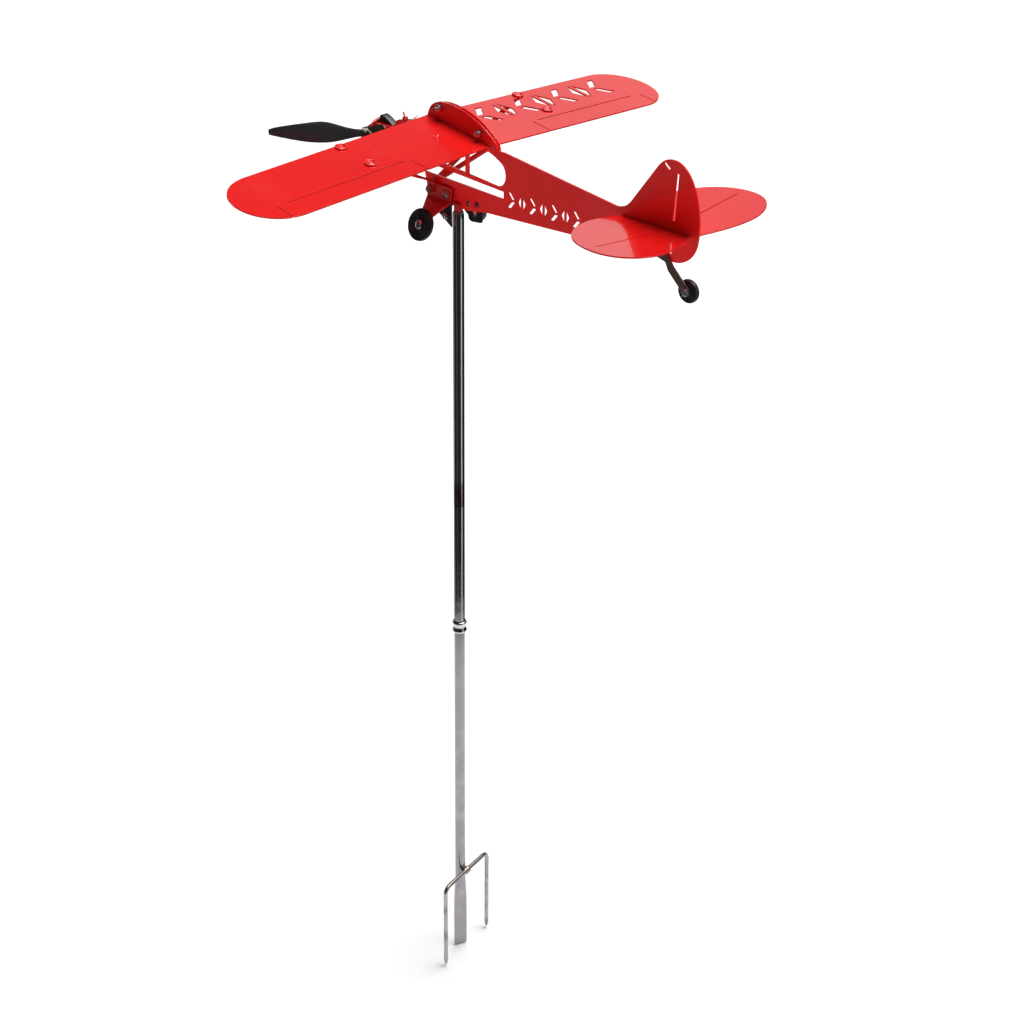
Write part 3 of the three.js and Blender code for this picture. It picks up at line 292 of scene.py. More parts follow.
def tint_band():
    """A patchy colour band over a stretch of Z, soft at its upper end."""
    group, start, end = new_group(
        "tint_band",
        [("Colour", "NodeSocketColor", (0.6, 0.6, 0.6, 1)),
         ("Tint", "NodeSocketColor", (0.2, 0.1, 0.1, 1)),
         ("Low", "NodeSocketFloat", 0.0),
         ("High", "NodeSocketFloat", 0.1),
         ("Strength", "NodeSocketFloat", 0.5)],
        [("Colour", "NodeSocketColor")])
    place = group.nodes.new("ShaderNodeTexCoord")
    parts = group.nodes.new("ShaderNodeSeparateXYZ")
    group.links.new(place.outputs["Object"], parts.inputs["Vector"])
    above = combine(group, "SUBTRACT", parts.outputs["Z"], start.outputs["Low"])
    below = combine(group, "SUBTRACT", start.outputs["High"], parts.outputs["Z"])
    inside = combine(group, "MULTIPLY", band(group, above, 0, 0.5 * MM), band(group, below, 0, 9 * MM))
    patchy = band(group, noise(group, 160), 0.25, 0.7, 0.6)
    amount = combine(group, "MULTIPLY", combine(group, "MULTIPLY", inside, patchy),
                     start.outputs["Strength"])
    group.links.new(blend_colours(group, amount, start.outputs["Colour"], start.outputs["Tint"]),
                    end.inputs["Colour"])
    return group


TINT_BAND = tint_band()


def tint_between(material, low, high, tint, strength):
    """Lays a patchy colour band over a material's colour, between two heights in millimetres."""
    tree = material.node_tree
    base = tree.nodes["Principled BSDF"].inputs["Base Color"]
    heat = tree.nodes.new("ShaderNodeGroup")
    heat.node_tree = TINT_BAND
    heat.inputs["Tint"].default_value = (*tint, 1.0)
    heat.inputs["Low"].default_value = low * MM
    heat.inputs["High"].default_value = high * MM
    heat.inputs["Strength"].default_value = strength
    tree.links.new(base.links[0].from_socket, heat.inputs["Colour"])
    tree.links.new(heat.outputs["Colour"], base)


joint_low = heights("lower_tube")[1]
slip = heights("middle_tube")[1]
pole_top = heights("upper_tube")[1]
spindle_foot = heights("pivot_spindle")[0]

lower_chrome = chromed("worn_chrome", (0.31, 0.295, 0.31), 0.75, 0.17)
piece("lower_tube_pressed", pressed_tube(joint_low), lower_chrome, "pole", "chromed_tube",
      "lower_tube", crease=40)
middle_chrome = chromed("middle_chrome", (0.60, 0.59, 0.61), 0.45, 0.10)
piece("middle_tube_turned",
      tube_with_spigot(joint_low + CLEARANCE, slip, slip - SPIGOT - CLEARANCE, heights("middle_tube")[0]),
      middle_chrome, "pole", "chromed_tube", "middle_tube")
upper_chrome = chromed("bright_chrome", (0.68, 0.68, 0.70), 0.30, 0.06)
# A patchy maroon band on the upper tube just above the slip joint.
tint_between(upper_chrome, slip, slip + SLIP_TINT, (0.20, 0.05, 0.07), 0.85)
piece("upper_tube_turned",
      tube_with_spigot(slip + CLEARANCE, pole_top, spindle_foot - PLUG_DEPTH, heights("upper_tube")[0]),
      upper_chrome, "pole", "chromed_tube", "upper_tube")

# ---- Ferrule --------------------------------------------------------------------------------
# A short pressed sleeve over the lower joint, of the same chromed steel. Two rolled beads stiffen
# its ends, and the waist between them grips the tubes.

BEAD_R = 0.75
BEAD_IN = 1.6
WAIST_R = 5.7


def ferrule_profile(low, high):
    inner = TUBE_R + CLEARANCE
    bead_centre = WAIST_R + 0.1
    points = [(inner, low)]
    for middle in (low + BEAD_IN, high - BEAD_IN):
        for i in range(9):
            a = math.radians(-80 + 20 * i)
            points.append((bead_centre + BEAD_R * math.cos(a) * 0.75, middle + 2 * BEAD_R * math.sin(a)))
        points.append((WAIST_R, middle + 1.9) if middle < (low + high) / 2 else (WAIST_R - 0.2, high))
        if middle < (low + high) / 2:
            points.append((WAIST_R, high - 3.5))
    points.append((inner, high))
    return closed(points)


ferrule_chrome = chromed("ferrule_chrome", (0.66, 0.65, 0.66), 0.25, 0.08)
piece("pole_ferrule_rolled", lathe(ferrule_profile(*heights("pole_ferrule"))), ferrule_chrome, "pole",
      "chromed_tube", "pole_ferrule", crease=50)

# ---- Ground fork ----------------------------------------------------------------------------
# One length of drawn steel wire, bent to a crossbar with two prongs. Its ends are ground to blunt
# points, and it lies across the tube just above the blade, where it is welded on.

FORK_TURN = math.radians(10.7)
WIRE_R = 2.0
WIRE_SIDES = 24
FORK_HALF = 34.5
FORK_BAR = 91.5
FORK_BEND = 7.0
FORK_TIP = 1.5
FORK_OFFSET = TUBE_R + WIRE_R + CLEARANCE
POINT = ((2.5, 0.85), (4.6, 0.6), (5.8, 0.3))


def fork_path():
    """The left half of the wire's centre line from its point up, then the same mirrored."""
    side = [(-FORK_HALF, FORK_TIP + z) for z in (6, 30, 60)]
    for i in range(13):
        a = math.radians(180 - 7.5 * i)
        side.append((-FORK_HALF + FORK_BEND + FORK_BEND * math.cos(a),
                     FORK_BAR - FORK_BEND + FORK_BEND * math.sin(a)))
    side.append((-10, FORK_BAR))
    return side + [(-x, z) for x, z in reversed(side)]


def wire_rings(path):
    """Rings of wire square to a flat path."""
    across = Vector((0, 1, 0))
    rings = []
    for i, point in enumerate(path):
        ahead = path[min(i + 1, len(path) - 1)] - path[max(i - 1, 0)]
        outward = ahead.normalized().cross(across)
        rings.append([point + WIRE_R * (across * math.cos(a) + outward * math.sin(a))
                      for a in (2 * math.pi * k / WIRE_SIDES for k in range(WIRE_SIDES))])
    return rings


def fork():
    path = [Vector((x, 0, z)) for x, z in fork_path()]
    rings = wire_rings(path)
    for end, order in ((path[0], -1), (path[-1], 1)):
        for drop, share in POINT:
            ring = [Vector((end.x, 0, end.z - drop)) + share * WIRE_R *
                    Vector((order * math.sin(a), math.cos(a), 0))
                    for a in (2 * math.pi * k / WIRE_SIDES for k in range(WIRE_SIDES))]
            if order < 0:
                rings.insert(0, ring)
            else:
                rings.append(ring)
    bm = loft(rings)
    bmesh.ops.translate(bm, vec=(0, FORK_OFFSET, 0), verts=bm.verts)
    bmesh.ops.rotate(bm, cent=(0, 0, 0), matrix=Matrix.Rotation(FORK_TURN, 3, "Z"), verts=bm.verts)
    return bm


drawn_wire = finish("drawn_wire", METAL, 0.010, metallic=1.0, Colour=(0.40, 0.385, 0.385),
                    Stain=(0.16, 0.13, 0.12), Stain_Amount=0.7, Roughness=0.24, Roughness_Spread=0.25)
# Heat tint from the weld over the crossbar.
tint_between(drawn_wire, FORK_BAR - 2.2, FORK_BAR + 12, (0.16, 0.10, 0.07), 0.35)
piece("ground_fork_bent", fork(), drawn_wire, "pole", "fork_wire", "ground_fork", crease=45)

# ---- Weld bead ------------------------------------------------------------------------------
# A short rippled bead of weld metal over the crossbar, which holds the fork to the tube. It is
# left as welded, blue-brown from the heat.

WELD_HALF = 4.6
WELD_SINK = 0.9
WELD_R = 3.25
RIPPLE = 0.22
WELD_STATIONS = 22
WELD_SIDES = 28


def weld_bead():
    rings = []
    for i in range(WELD_STATIONS + 1):
        t = i / WELD_STATIONS
        x = -WELD_HALF + 2 * WELD_HALF * t
        swell = math.sqrt(max(0.12, 1 - (2 * t - 1) ** 6))
        radius = (WELD_R + RIPPLE * math.sin(9 * math.pi * t)) * swell
        rings.append([Vector((x, FORK_OFFSET + radius * math.cos(a), FORK_BAR + radius * math.sin(a)))
                      for a in (2 * math.pi * k / WELD_SIDES for k in range(WELD_SIDES))])
    bm = loft(rings)
    cut = bmesh.ops.bisect_plane(bm, geom=bm.verts[:] + bm.edges[:] + bm.faces[:], dist=1e-5,
                                 plane_co=(0, TUBE_R - WELD_SINK, 0), plane_no=(0, -1, 0),
                                 clear_outer=True)
    rim = [item for item in cut["geom_cut"] if isinstance(item, bmesh.types.BMEdge)]
    bmesh.ops.edgeloop_fill(bm, edges=rim)
    bmesh.ops.rotate(bm, cent=(0, 0, 0), matrix=Matrix.Rotation(FORK_TURN, 3, "Z"), verts=bm.verts)
    return bm


weld_metal = finish("weld_metal", METAL, 0.05, metallic=1.0, Colour=(0.36, 0.31, 0.28),
                    Stain=(0.15, 0.07, 0.03), Stain_Amount=0.9, Roughness=0.34, Roughness_Spread=0.3)
piece("fork_weld_bead", weld_bead(), weld_metal, "pole", "weld_metal", "fork_weld", crease=60)

# ---- Pivot ----------------------------------------------------------------------------------
# A steel spindle under the fuselage drops into a plain plastic bearing in the pole's mouth, and its
# rounded end runs on a plug. A red bush covers the gap above the pole.


def moulded_surface():
    """Moulded plastic or rubber: fine grain, faint flow clouds and paler rubbed patches."""
    group, start, end = new_group(
        "moulded_surface",
        [("Colour", "NodeSocketColor", (0.02, 0.02, 0.02, 1)),
         ("Rubbed", "NodeSocketColor", (0.1, 0.1, 0.1, 1)),
         ("Rubbed Amount", "NodeSocketFloat", 0.3),
         ("Roughness", "NodeSocketFloat", 0.4),
         ("Grain", "NodeSocketFloat", 0.5)],
        [("Colour", "NodeSocketColor"), ("Roughness", "NodeSocketFloat"), ("Height", "NodeSocketFloat")])
    grain = noise(group, 1400, detail=2.0)
    flow = band(group, noise(group, 40, detail=4.0), 0.35, 0.75)
    rubbed = band(group, noise(group, 260, detail=5.0, roughness=0.65), 0.52, 0.72)
    amount = combine(group, "MULTIPLY", combine(group, "MULTIPLY", rubbed, flow),
                     start.outputs["Rubbed Amount"])
    colour = blend_colours(group, amount, start.outputs["Colour"], start.outputs["Rubbed"])
    spread = combine(group, "ADD", combine(group, "MULTIPLY", flow, 0.10),
                     combine(group, "MULTIPLY", rubbed, 0.14))
    gloss = combine(group, "ADD", start.outputs["Roughness"], spread)
    height = combine(group, "MULTIPLY", grain, start.outputs["Grain"])
    group.links.new(colour, end.inputs["Colour"])
    group.links.new(gloss, end.inputs["Roughness"])
    group.links.new(height, end.inputs["Height"])
    return group


MOULDED = moulded_surface()


def rim_surface():
    """Sprayed gloss paint: orange peel, a slow change of tone, dust, and a paler colour on cut edges that is
    partly thin paint and partly a painted edge highlight.
    """
    group, start, end = new_group(
        "rim_surface",
        [("Colour", "NodeSocketColor", (0.6, 0.01, 0.01, 1)),
         ("Deep Colour", "NodeSocketColor", (0.5, 0.01, 0.01, 1)),
         ("Edge Colour", "NodeSocketColor", (0.8, 0.1, 0.1, 1)),
         ("Edge Amount", "NodeSocketFloat", 0.5),
         ("Roughness", "NodeSocketFloat", 0.2)],
        [("Colour", "NodeSocketColor"), ("Roughness", "NodeSocketFloat"), ("Height", "NodeSocketFloat")])
    tone = band(group, noise(group, 9, detail=2.0), 0.35, 0.68)
    peel = noise(group, 520, detail=1.5, roughness=0.4)
    dust = band(group, noise(group, 700, detail=5.0, roughness=0.7), 0.69, 0.76)
    smear = band(group, noise(group, 30, stretch=(1, 0.35, 1), detail=4.0), 0.45, 0.8)
    rim = group.nodes.new("ShaderNodeAttribute")
    rim.attribute_name = "rim"
    colour = blend_colours(group, tone, start.outputs["Colour"], start.outputs["Deep Colour"])
    # Paler colour on the rounded edges: thin paint together with a painted edge highlight.
    thin_paint_and_edge_highlight = combine(group, "MULTIPLY", rim.outputs["Fac"], start.outputs["Edge Amount"])
    colour = blend_colours(group, thin_paint_and_edge_highlight, colour, start.outputs["Edge Colour"])
    gloss = combine(group, "ADD", start.outputs["Roughness"],
                    combine(group, "ADD", combine(group, "MULTIPLY", smear, 0.09),
                            combine(group, "MULTIPLY", dust, 0.2)))
    height = combine(group, "ADD", combine(group, "MULTIPLY", peel, 0.8),
                     combine(group, "MULTIPLY", dust, 0.5))
    group.links.new(colour, end.inputs["Colour"])
    group.links.new(gloss, end.inputs["Roughness"])
    group.links.new(height, end.inputs["Height"])
    return group


PAINT = rim_surface()


def sheet_copy(node, edge, segments=2, sharp=38):
    """A welded copy of a sheet node, its flat faces cleared and its cut edges rounded.

    The rounded edges carry the attribute rim, where paint draws thin and a paler colour paints an edge
    highlight."""
    bm = bmesh.new()
    bm.from_mesh(frame["nodes"][node].data)
    bmesh.ops.scale(bm, vec=(1 / MM,) * 3, verts=bm.verts)
    bmesh.ops.remove_doubles(bm, verts=bm.verts, dist=2e-3)
    bmesh.ops.dissolve_limit(bm, angle_limit=math.radians(0.6), verts=bm.verts, edges=bm.edges)
    bmesh.ops.recalc_face_normals(bm, faces=bm.faces)
    layer = bm.faces.layers.float.new("rim")
    rims = [e for e in bm.edges if e.is_manifold and e.calc_face_angle(0) > math.radians(sharp)]
    result = bmesh.ops.bevel(bm, geom=rims, offset=edge, offset_type="OFFSET", segments=segments,
                             profile=0.5, affect="EDGES", clamp_overlap=True, material=-1)
    for face in result["faces"]:
        face[layer] = 1.0
    return bm


bearing_plastic = finish("bearing_plastic", MOULDED, 0.01, Colour=(0.11, 0.11, 0.12),
                         Rubbed=(0.25, 0.25, 0.26), Rubbed_Amount=0.5, Roughness=0.35, Grain=0.4)
BEARING_BORE = 2.0
BEARING_LIP = 1.3
SPINDLE_R = 1.7
BUSH_EDGE = 0.35


def bearing_profile(low, high):
    lip = high - BEARING_LIP
    return closed([(BEARING_BORE, low), (SPIGOT_R, low), (SPIGOT_R, lip), (TUBE_R - 0.5, lip),
                   (TUBE_R - 0.5, high - 0.3), (TUBE_R - 0.8, high), (BEARING_BORE + 0.2, high),
                   (BEARING_BORE, high - 0.2)])


def plug_profile(low, high):
    return [(0, low), (SPIGOT_R - 0.3, low), (SPIGOT_R, low + 0.3), (SPIGOT_R, high - 1.2),
            (2.0, high - 0.6), (1.2, high - 0.1), (0, high)]


def spindle_profile(low, high):
    return [(0, low), (SPINDLE_R * 0.5, low + 0.05), (SPINDLE_R * 0.85, low + 0.6), (SPINDLE_R, low + 1.4),
            (SPINDLE_R, high - 0.2), (SPINDLE_R - 0.2, high), (0, high)]


zinc = finish("zinc_plate", METAL, 0.010, metallic=1.0, Colour=(0.72, 0.73, 0.75),
              Stain=(0.45, 0.45, 0.44), Stain_Amount=0.5, Roughness=0.26, Roughness_Spread=0.2)
piece("pole_bearing_turned", lathe(bearing_profile(*heights("pole_bearing"))), bearing_plastic, "pole",
      "bearing_plastic", "pole_bearing")
piece("thrust_plug_turned", lathe(plug_profile(*heights("thrust_plug"))), bearing_plastic, "pole",
      "bearing_plastic", "thrust_plug")
piece("pivot_spindle_turned", lathe(spindle_profile(*heights("pivot_spindle"))), zinc, "aeroplane",
      "zinc_hardware", "pivot_spindle")
bush_plastic = finish("bush_plastic", MOULDED, 0.008, coat=0.5, Colour=(0.44, 0.010, 0.012),
                      Rubbed=(0.6, 0.12, 0.12), Rubbed_Amount=0.25, Roughness=0.2, Grain=0.3)
piece("pivot_bush_moulded", sheet_copy("pivot_bush", BUSH_EDGE), bush_plastic, "aeroplane", "red_plastic",
      "pivot_bush", crease=50)

# ---- Fuselage, wings and tail ---------------------------------------------------------------
# Steel sheet cut by laser to outline, with its windows, hinge slots and stencil row, and folded
# where a flange is needed. Each piece is powder coated gloss red after folding, edges and all.

SHEET_EDGE = 0.22
SHEET_CREASE = 20.0
FLAT_FACE = 4.0
# Its edge colour is a paler red on the rounded edges, thin paint together with a painted edge highlight.
gloss_red = finish("gloss_red", PAINT, 0.006, coat=1.0, coat_roughness=0.02, Colour=(0.86, 0.011, 0.010),
                   Deep_Colour=(0.80, 0.009, 0.009), Edge_Colour=(0.95, 0.16, 0.13), Edge_Amount=0.45,
                   Roughness=0.22)
for node in ("fuselage_plate", "left_wing", "right_wing", "left_stabiliser", "right_stabiliser"):
    piece(node + "_coated", sheet_copy(node, SHEET_EDGE), gloss_red, "aeroplane", "red_paint", node,
          crease=SHEET_CREASE, flat_above=FLAT_FACE)

# ---- Struts, legs and nose block ------------------------------------------------------------
# Narrow strips of the same red sheet: V struts from the fuselage to rivets in each wing, bent legs
# for the wheels, the block and disc behind the propeller, and the little wire on the nose.

STRIP_EDGE = 0.18
# A darker copy of the gloss red: painted shade on the struts, legs, nose block and wire.
shaded_red_copy = finish("shaded_red_copy", PAINT, 0.006, coat=1.0, coat_roughness=0.03, Colour=(0.60, 0.010, 0.010),
                  Deep_Colour=(0.50, 0.008, 0.008), Edge_Colour=(0.90, 0.16, 0.14), Edge_Amount=0.4,
                  Roughness=0.26)
for node in ("left_strut", "right_strut", "left_leg", "right_leg", "cowl", "fuel_wire"):
    piece(node + "_coated", sheet_copy(node, STRIP_EDGE), shaded_red_copy, "aeroplane", "red_paint", node,
          crease=SHEET_CREASE, flat_above=FLAT_FACE)

# ---- Strut rivets ---------------------------------------------------------------------------
# Ring-headed rivets through wing and strut, painted with the wing. Two more rivets of plain form
# hold the tailplane flanges to the fuselage.

INCIDENCE = math.radians(8.4)
DROOP = math.radians(2.3)
RING_R = 5.0
RING_T = 0.75
HEAD_T = 1.1
RIVET_SHANK = 1.3


def axis_frame(through, axis):
    """Millimetres along an axis, with zero at a point on it and the hexagons' corners upright."""
    z = Vector(axis).normalized()
    x = Vector((0, 1, 0)).cross(z)
    if x.length < 0.1:
        x = Vector((1, 0, 0))
    x.normalize()
    frame_of_axis = Matrix((x, z.cross(x), z)).transposed().to_4x4()
    frame_of_axis.translation = through
    return frame_of_axis @ Matrix.Scale(MM, 4)


def reach(node, through, axis):
    """How far a node reaches along an axis from a point on it, in millimetres."""
    direction = Vector(axis).normalized()
    spots = [(v.co - through).dot(direction) / MM for v in frame["nodes"][node].data.vertices]
    return min(spots), max(spots)


def middle_of(node):
    low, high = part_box(node)
    return (low + high) / 2


def mean_point(node):
    verts = frame["nodes"][node].data.vertices
    return sum((v.co for v in verts), Vector()) / len(verts)


def ring_rivet_profile(low, high):
    head = high - HEAD_T
    ring = [(RING_R - RING_T + RING_T * math.cos(a), head + 0.35 + RING_T * math.sin(a))
            for a in (math.radians(18 * i) for i in range(1, 10))]
    shank = [(0, low), (RIVET_SHANK + 0.6, low), (RIVET_SHANK + 0.9, low + 0.4),
             (RIVET_SHANK + 0.9, low + 1), (RIVET_SHANK, low + 1), (RIVET_SHANK, head),
             (RING_R - 0.1, head), (RING_R, head + 0.3)]
    hollow = [(3.4, head + 0.45), (2.2, head + 0.30), (1.9, head + 0.35), (1.6, head + 0.62),
              (0.8, head + 0.78), (0, head + 0.8)]
    return shank + ring + hollow


for side, word in ((1, "left"), (-1, "right")):
    turn = Matrix.Rotation(-INCIDENCE, 3, "X") @ Matrix.Rotation(side * DROOP, 3, "Y")
    wing_up = turn @ Vector((0, 0, 1))
    for end in ("front", "rear"):
        node = f"{word}_rivet_{end}"
        centre = mean_point(node)
        bm = lathe(ring_rivet_profile(*reach(node, centre, wing_up)), steps=40)
        piece(node + "_headed", bm, gloss_red, "aeroplane", "red_paint", node,
              place=axis_frame(centre, wing_up))


def pop_rivet_profile(low, high):
    return [(0, low), (1.5, low + 0.1), (2.2, low + 0.5), (2.4, low + 0.9), (RIVET_SHANK, low + 0.9),
            (RIVET_SHANK, high - 0.9), (2.4, high - 0.9), (2.2, high - 0.5), (1.5, high - 0.1), (0, high)]


for node in ("tail_rivet_front", "tail_rivet_rear"):
    centre = middle_of(node)
    piece(node + "_headed", lathe(pop_rivet_profile(*reach(node, centre, (1, 0, 0))), steps=32), gloss_red,
          "aeroplane", "red_paint", node, place=axis_frame(centre, (1, 0, 0)))

# ---- Guard plate, scoop and tail spring -----------------------------------------------------
# Two satin black plates, one ahead of the pole and one behind it, and a moulded black scoop on the
# nose. The tail wheel hangs on a strip of spring steel, blued by its heat treatment.

SCOOP_EDGE = 0.9
# Its edge colour is a grey on the rounded edges, thin paint together with a painted edge highlight.
satin_black = finish("satin_black", PAINT, 0.01, coat=0.2, coat_roughness=0.2,
                     Colour=(0.014, 0.014, 0.016), Deep_Colour=(0.010, 0.010, 0.011),
                     Edge_Colour=(0.16, 0.15, 0.15), Edge_Amount=0.6, Roughness=0.38)
spring_steel = finish("spring_steel", METAL, 0.012, metallic=1.0, Colour=(0.46, 0.39, 0.34),
                      Stain=(0.24, 0.19, 0.17), Stain_Amount=0.8, Roughness=0.42, Roughness_Spread=0.25)
for node in ("guard_plate", "keel_bracket"):
    piece(node + "_cut", sheet_copy(node, STRIP_EDGE), satin_black, "aeroplane", "black_plate", node,
          crease=SHEET_CREASE, flat_above=FLAT_FACE)
piece("air_scoop_moulded", sheet_copy("air_scoop", SCOOP_EDGE, segments=4, sharp=50), satin_black,
      "aeroplane", "black_plate", "air_scoop", crease=50)
piece("tail_spring_cut", sheet_copy("tail_spring", STRIP_EDGE), spring_steel, "aeroplane", "spring_steel",
      "tail_spring", crease=SHEET_CREASE)

# ---- Bolts and nuts -------------------------------------------------------------------------
# M3 screws with domed heads and a hexagon socket, and plain nuts, all bright zinc plated steel.
# The cut thread shows where each screw comes out of its nut.

BOLT_R = 1.5
PITCH = 0.5
THREAD_SHOWN = 5.0
SCREW_HEAD_R = 2.85
SCREW_HEAD_H = 1.8
NUT_CORNER_R = 3.2
NUT_CHAMFER = 0.32


def thread(low, high):
    """Zigzag radius and height pairs of a cut thread."""
    turns = max(1, int((high - low) / PITCH))
    points = []
    for i in range(turns):
        z = low + i * PITCH
        points += [(BOLT_R - 0.26, z), (BOLT_R, z + PITCH * 0.45), (BOLT_R, z + PITCH * 0.6)]
    return points


def screw_profile(low, high):
    """A screw whose domed head is at the low end, with a round socket in it."""
    z = low + SCREW_HEAD_H
    dome = [(SCREW_HEAD_R * math.cos(a), z - 0.3 - (SCREW_HEAD_H - 0.3) * math.sin(a))
            for a in (math.radians(15 * i) for i in range(5))]
    socket = [(0, low + 1.1), (0.75, low + 1.1), (0.85, low + 0.95), (0.9, low + 0.35), (1.15, low + 0.12)]
    seat = [(SCREW_HEAD_R, z - 0.1), (SCREW_HEAD_R - 0.2, z), (BOLT_R, z)]
    cut_from = high - THREAD_SHOWN if high - z > THREAD_SHOWN + 2 else z + 0.6
    end = [(BOLT_R - 0.3, high - 0.25), (BOLT_R - 0.5, high), (0, high)]
    return socket + list(reversed(dome)) + seat + thread(cut_from, high - 0.5) + end


def nut(low, high):
    """Hexagon with its corners eased, as a turned blank leaves them."""
    bm = bmesh.new()
    turned = Matrix.Translation((0, 0, (low + high) / 2))
    bmesh.ops.create_cone(bm, cap_ends=True, segments=6, radius1=NUT_CORNER_R, radius2=NUT_CORNER_R,
                          depth=high - low, matrix=turned)
    caps = [f for f in bm.faces if abs(f.normal.z) > 0.9]
    rims = {e for f in caps for e in f.edges}
    bmesh.ops.bevel(bm, geom=list(rims), offset=NUT_CHAMFER, segments=3, profile=0.5, affect="EDGES",
                    material=-1)
    upright = [e for e in bm.edges if abs((e.verts[0].co - e.verts[1].co).normalized().z) > 0.9]
    bmesh.ops.bevel(bm, geom=upright, offset=0.12, segments=2, profile=0.5, affect="EDGES", material=-1)
    return bm


def screw_and_nut(screw_node, nut_node, through, axis, body):
    place = axis_frame(through, axis)
    screw = lathe(screw_profile(*reach(screw_node, through, axis)), steps=40)
    piece(screw_node + "_threaded", screw, zinc, body, "zinc_hardware", screw_node, place=place)
    piece(nut_node + "_hexagon", nut(*reach(nut_node, through, axis)), zinc, body, "zinc_hardware", nut_node,
          place=place, crease=25)


for screw_node, nut_node in (("guard_bolt", "guard_nut"), ("wing_bolt_front", "wing_nut_front"),
                             ("wing_bolt_rear", "wing_nut_rear"), ("leg_bolt_front", "leg_nut_front"),
                             ("leg_bolt_rear", "leg_nut_rear"), ("tail_axle", "tail_axle_nut"),
                             ("tail_bolt", "tail_nut")):
    screw_and_nut(screw_node, nut_node, middle_of(nut_node), (1, 0, 0), "aeroplane")

# ---- Wheels and axles -----------------------------------------------------------------------
# Solid black wheels with fine turned ridges on their faces. Each turns on a screw with a smooth
# silver cap outside and a nut inside the leg.

RIDGE = 0.95
RIDGE_DEPTH = 0.34
FACE_SUNK = 0.55
RIM_W = 1.3
WHEEL_BORE = 1.8
CAP_R = 3.7
CAP_H = 1.5


def wheel_profile(low, high, radius):
    """Bore, boss, ridged face, rounded tread and plain back."""
    boss = radius * 0.36
    rim = radius - RIM_W
    sunk = high - FACE_SUNK
    face = [(WHEEL_BORE, high - 0.15), (WHEEL_BORE + 0.15, high), (boss - 0.3, high), (boss, high - 0.2),
            (boss + 0.15, sunk)]
    r = boss + 0.5
    while r + RIDGE < rim:
        face += [(r, sunk), (r + RIDGE * 0.3, sunk + RIDGE_DEPTH), (r + RIDGE * 0.6, sunk + RIDGE_DEPTH),
                 (r + RIDGE * 0.9, sunk)]
        r += RIDGE
    face += [(rim, high - 0.5), (rim + 0.2, high - 0.1)]
    middle = (low + high) / 2
    half = (high - low) / 2
    tread = [(radius - 0.9 + 0.9 * math.cos(a), middle + half * math.sin(a))
             for a in (math.radians(72 - 12 * i) for i in range(13))]
    back = [(rim + 0.2, low + 0.1), (rim, low + 0.5), (boss + 0.2, low + 0.5), (boss, low + 0.1),
            (WHEEL_BORE + 0.2, low), (WHEEL_BORE, low + 0.15)]
    return closed(face + tread + back)


wheel_black = finish("wheel_black", MOULDED, 0.012, Colour=(0.016, 0.016, 0.018),
                     Rubbed=(0.10, 0.10, 0.105), Rubbed_Amount=0.4, Roughness=0.36, Grain=0.6)
joint_of = {joint["child"]: joint for joint in frame["joints"]}


def cap_profile(low, high):
    """An axle whose smooth domed cap is at the high end."""
    end = [(0, low), (BOLT_R - 0.5, low), (BOLT_R - 0.3, low + 0.25)]
    seat = [(BOLT_R, low + 3.6), (BOLT_R, high - 2.1), (CAP_R - 0.2, high - 2.1), (CAP_R, high - 1.9)]
    dome = [(CAP_R * math.cos(a), high - CAP_H + CAP_H * math.sin(a))
            for a in (math.radians(15 * i) for i in range(6))]
    return end + thread(low + 0.5, low + 3.5) + seat + dome + [(0, high)]


for name in ("left_wheel", "right_wheel", "tail_wheel"):
    through = Vector(joint_of[name]["pos_m"])
    axis = joint_of[name]["axis"]
    low, high = reach(name, through, axis)
    radius = (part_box(name)[1].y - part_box(name)[0].y) / 2 / MM
    piece(name + "_ridged", lathe(wheel_profile(low, high, radius), steps=96), wheel_black, name,
          "wheel_rubber", name, place=axis_frame(through, axis), crease=28)
for word in ("left", "right"):
    through = Vector(joint_of[word + "_wheel"]["pos_m"])
    axis = joint_of[word + "_wheel"]["axis"]
    place = axis_frame(through, axis)
    axle = word + "_axle"
    piece(axle + "_capped", lathe(cap_profile(*reach(axle, through, axis)), steps=40), zinc, "aeroplane",
          "zinc_hardware", axle, place=place)
    piece(axle + "_nut_hexagon", nut(*reach(axle + "_nut", through, axis)), zinc, "aeroplane",
          "zinc_hardware", axle + "_nut", place=place, crease=25)

# ---- Dummy engine ---------------------------------------------------------------------------
# Two turned alloy cylinders with cooling fins, darkened, stand out from the nose block. Each has a
# small plug with a white insulator screwed into its head.

FIN_R = 6.9
CORE_R = 4.4
FINS = 5
FIRST_FIN = 2.2
HEAD_LONG = 3.4
CYLINDER_LONG = 19.0
PLUG_OUT, PLUG_UP = 16.6, 4.6
PLUG_LEAN = math.radians(55)


def cylinder_profile(low, high):
    head = high - HEAD_LONG
    points = [(0, low), (6.4, low), (6.6, low + 0.2), (6.6, low + 1.0), (6.4, low + 1.2),
              (CORE_R, low + 1.3)]
    step = (head - low - FIRST_FIN) / FINS
    for i in range(FINS):
        z = low + FIRST_FIN + i * step
        points += [(CORE_R, z), (FIN_R - 0.2, z + 0.15), (FIN_R, z + 0.4), (FIN_R - 0.2, z + 0.65),
                   (CORE_R, z + 0.8)]
    return points + [(CORE_R, head), (5.9, head + 0.1), (6.2, head + 0.4), (6.2, head + 2.0),
                     (5.8, head + 2.6), (4.6, head + 3.2), (2.0, high), (0, high)]


def spark_plug(low):
    """Threaded body, ribbed insulator and tip."""
    insulator = [(1.0, low + 2.4)]
    for i in range(3):
        z = low + 2.5 + i * 0.7
        insulator += [(1.05, z), (1.05, z + 0.4), (0.85, z + 0.5)]
    body = [(0, low), (1.5, low), (1.5, low + 0.5), (1.9, low + 0.7), (1.9, low + 2.0), (1.5, low + 2.3)]
    tip = [(0.6, low + 4.8), (0.6, low + 7.4), (0.35, low + 7.8), (0, low + 7.8)]
    return lathe(body + insulator + tip, steps=24)


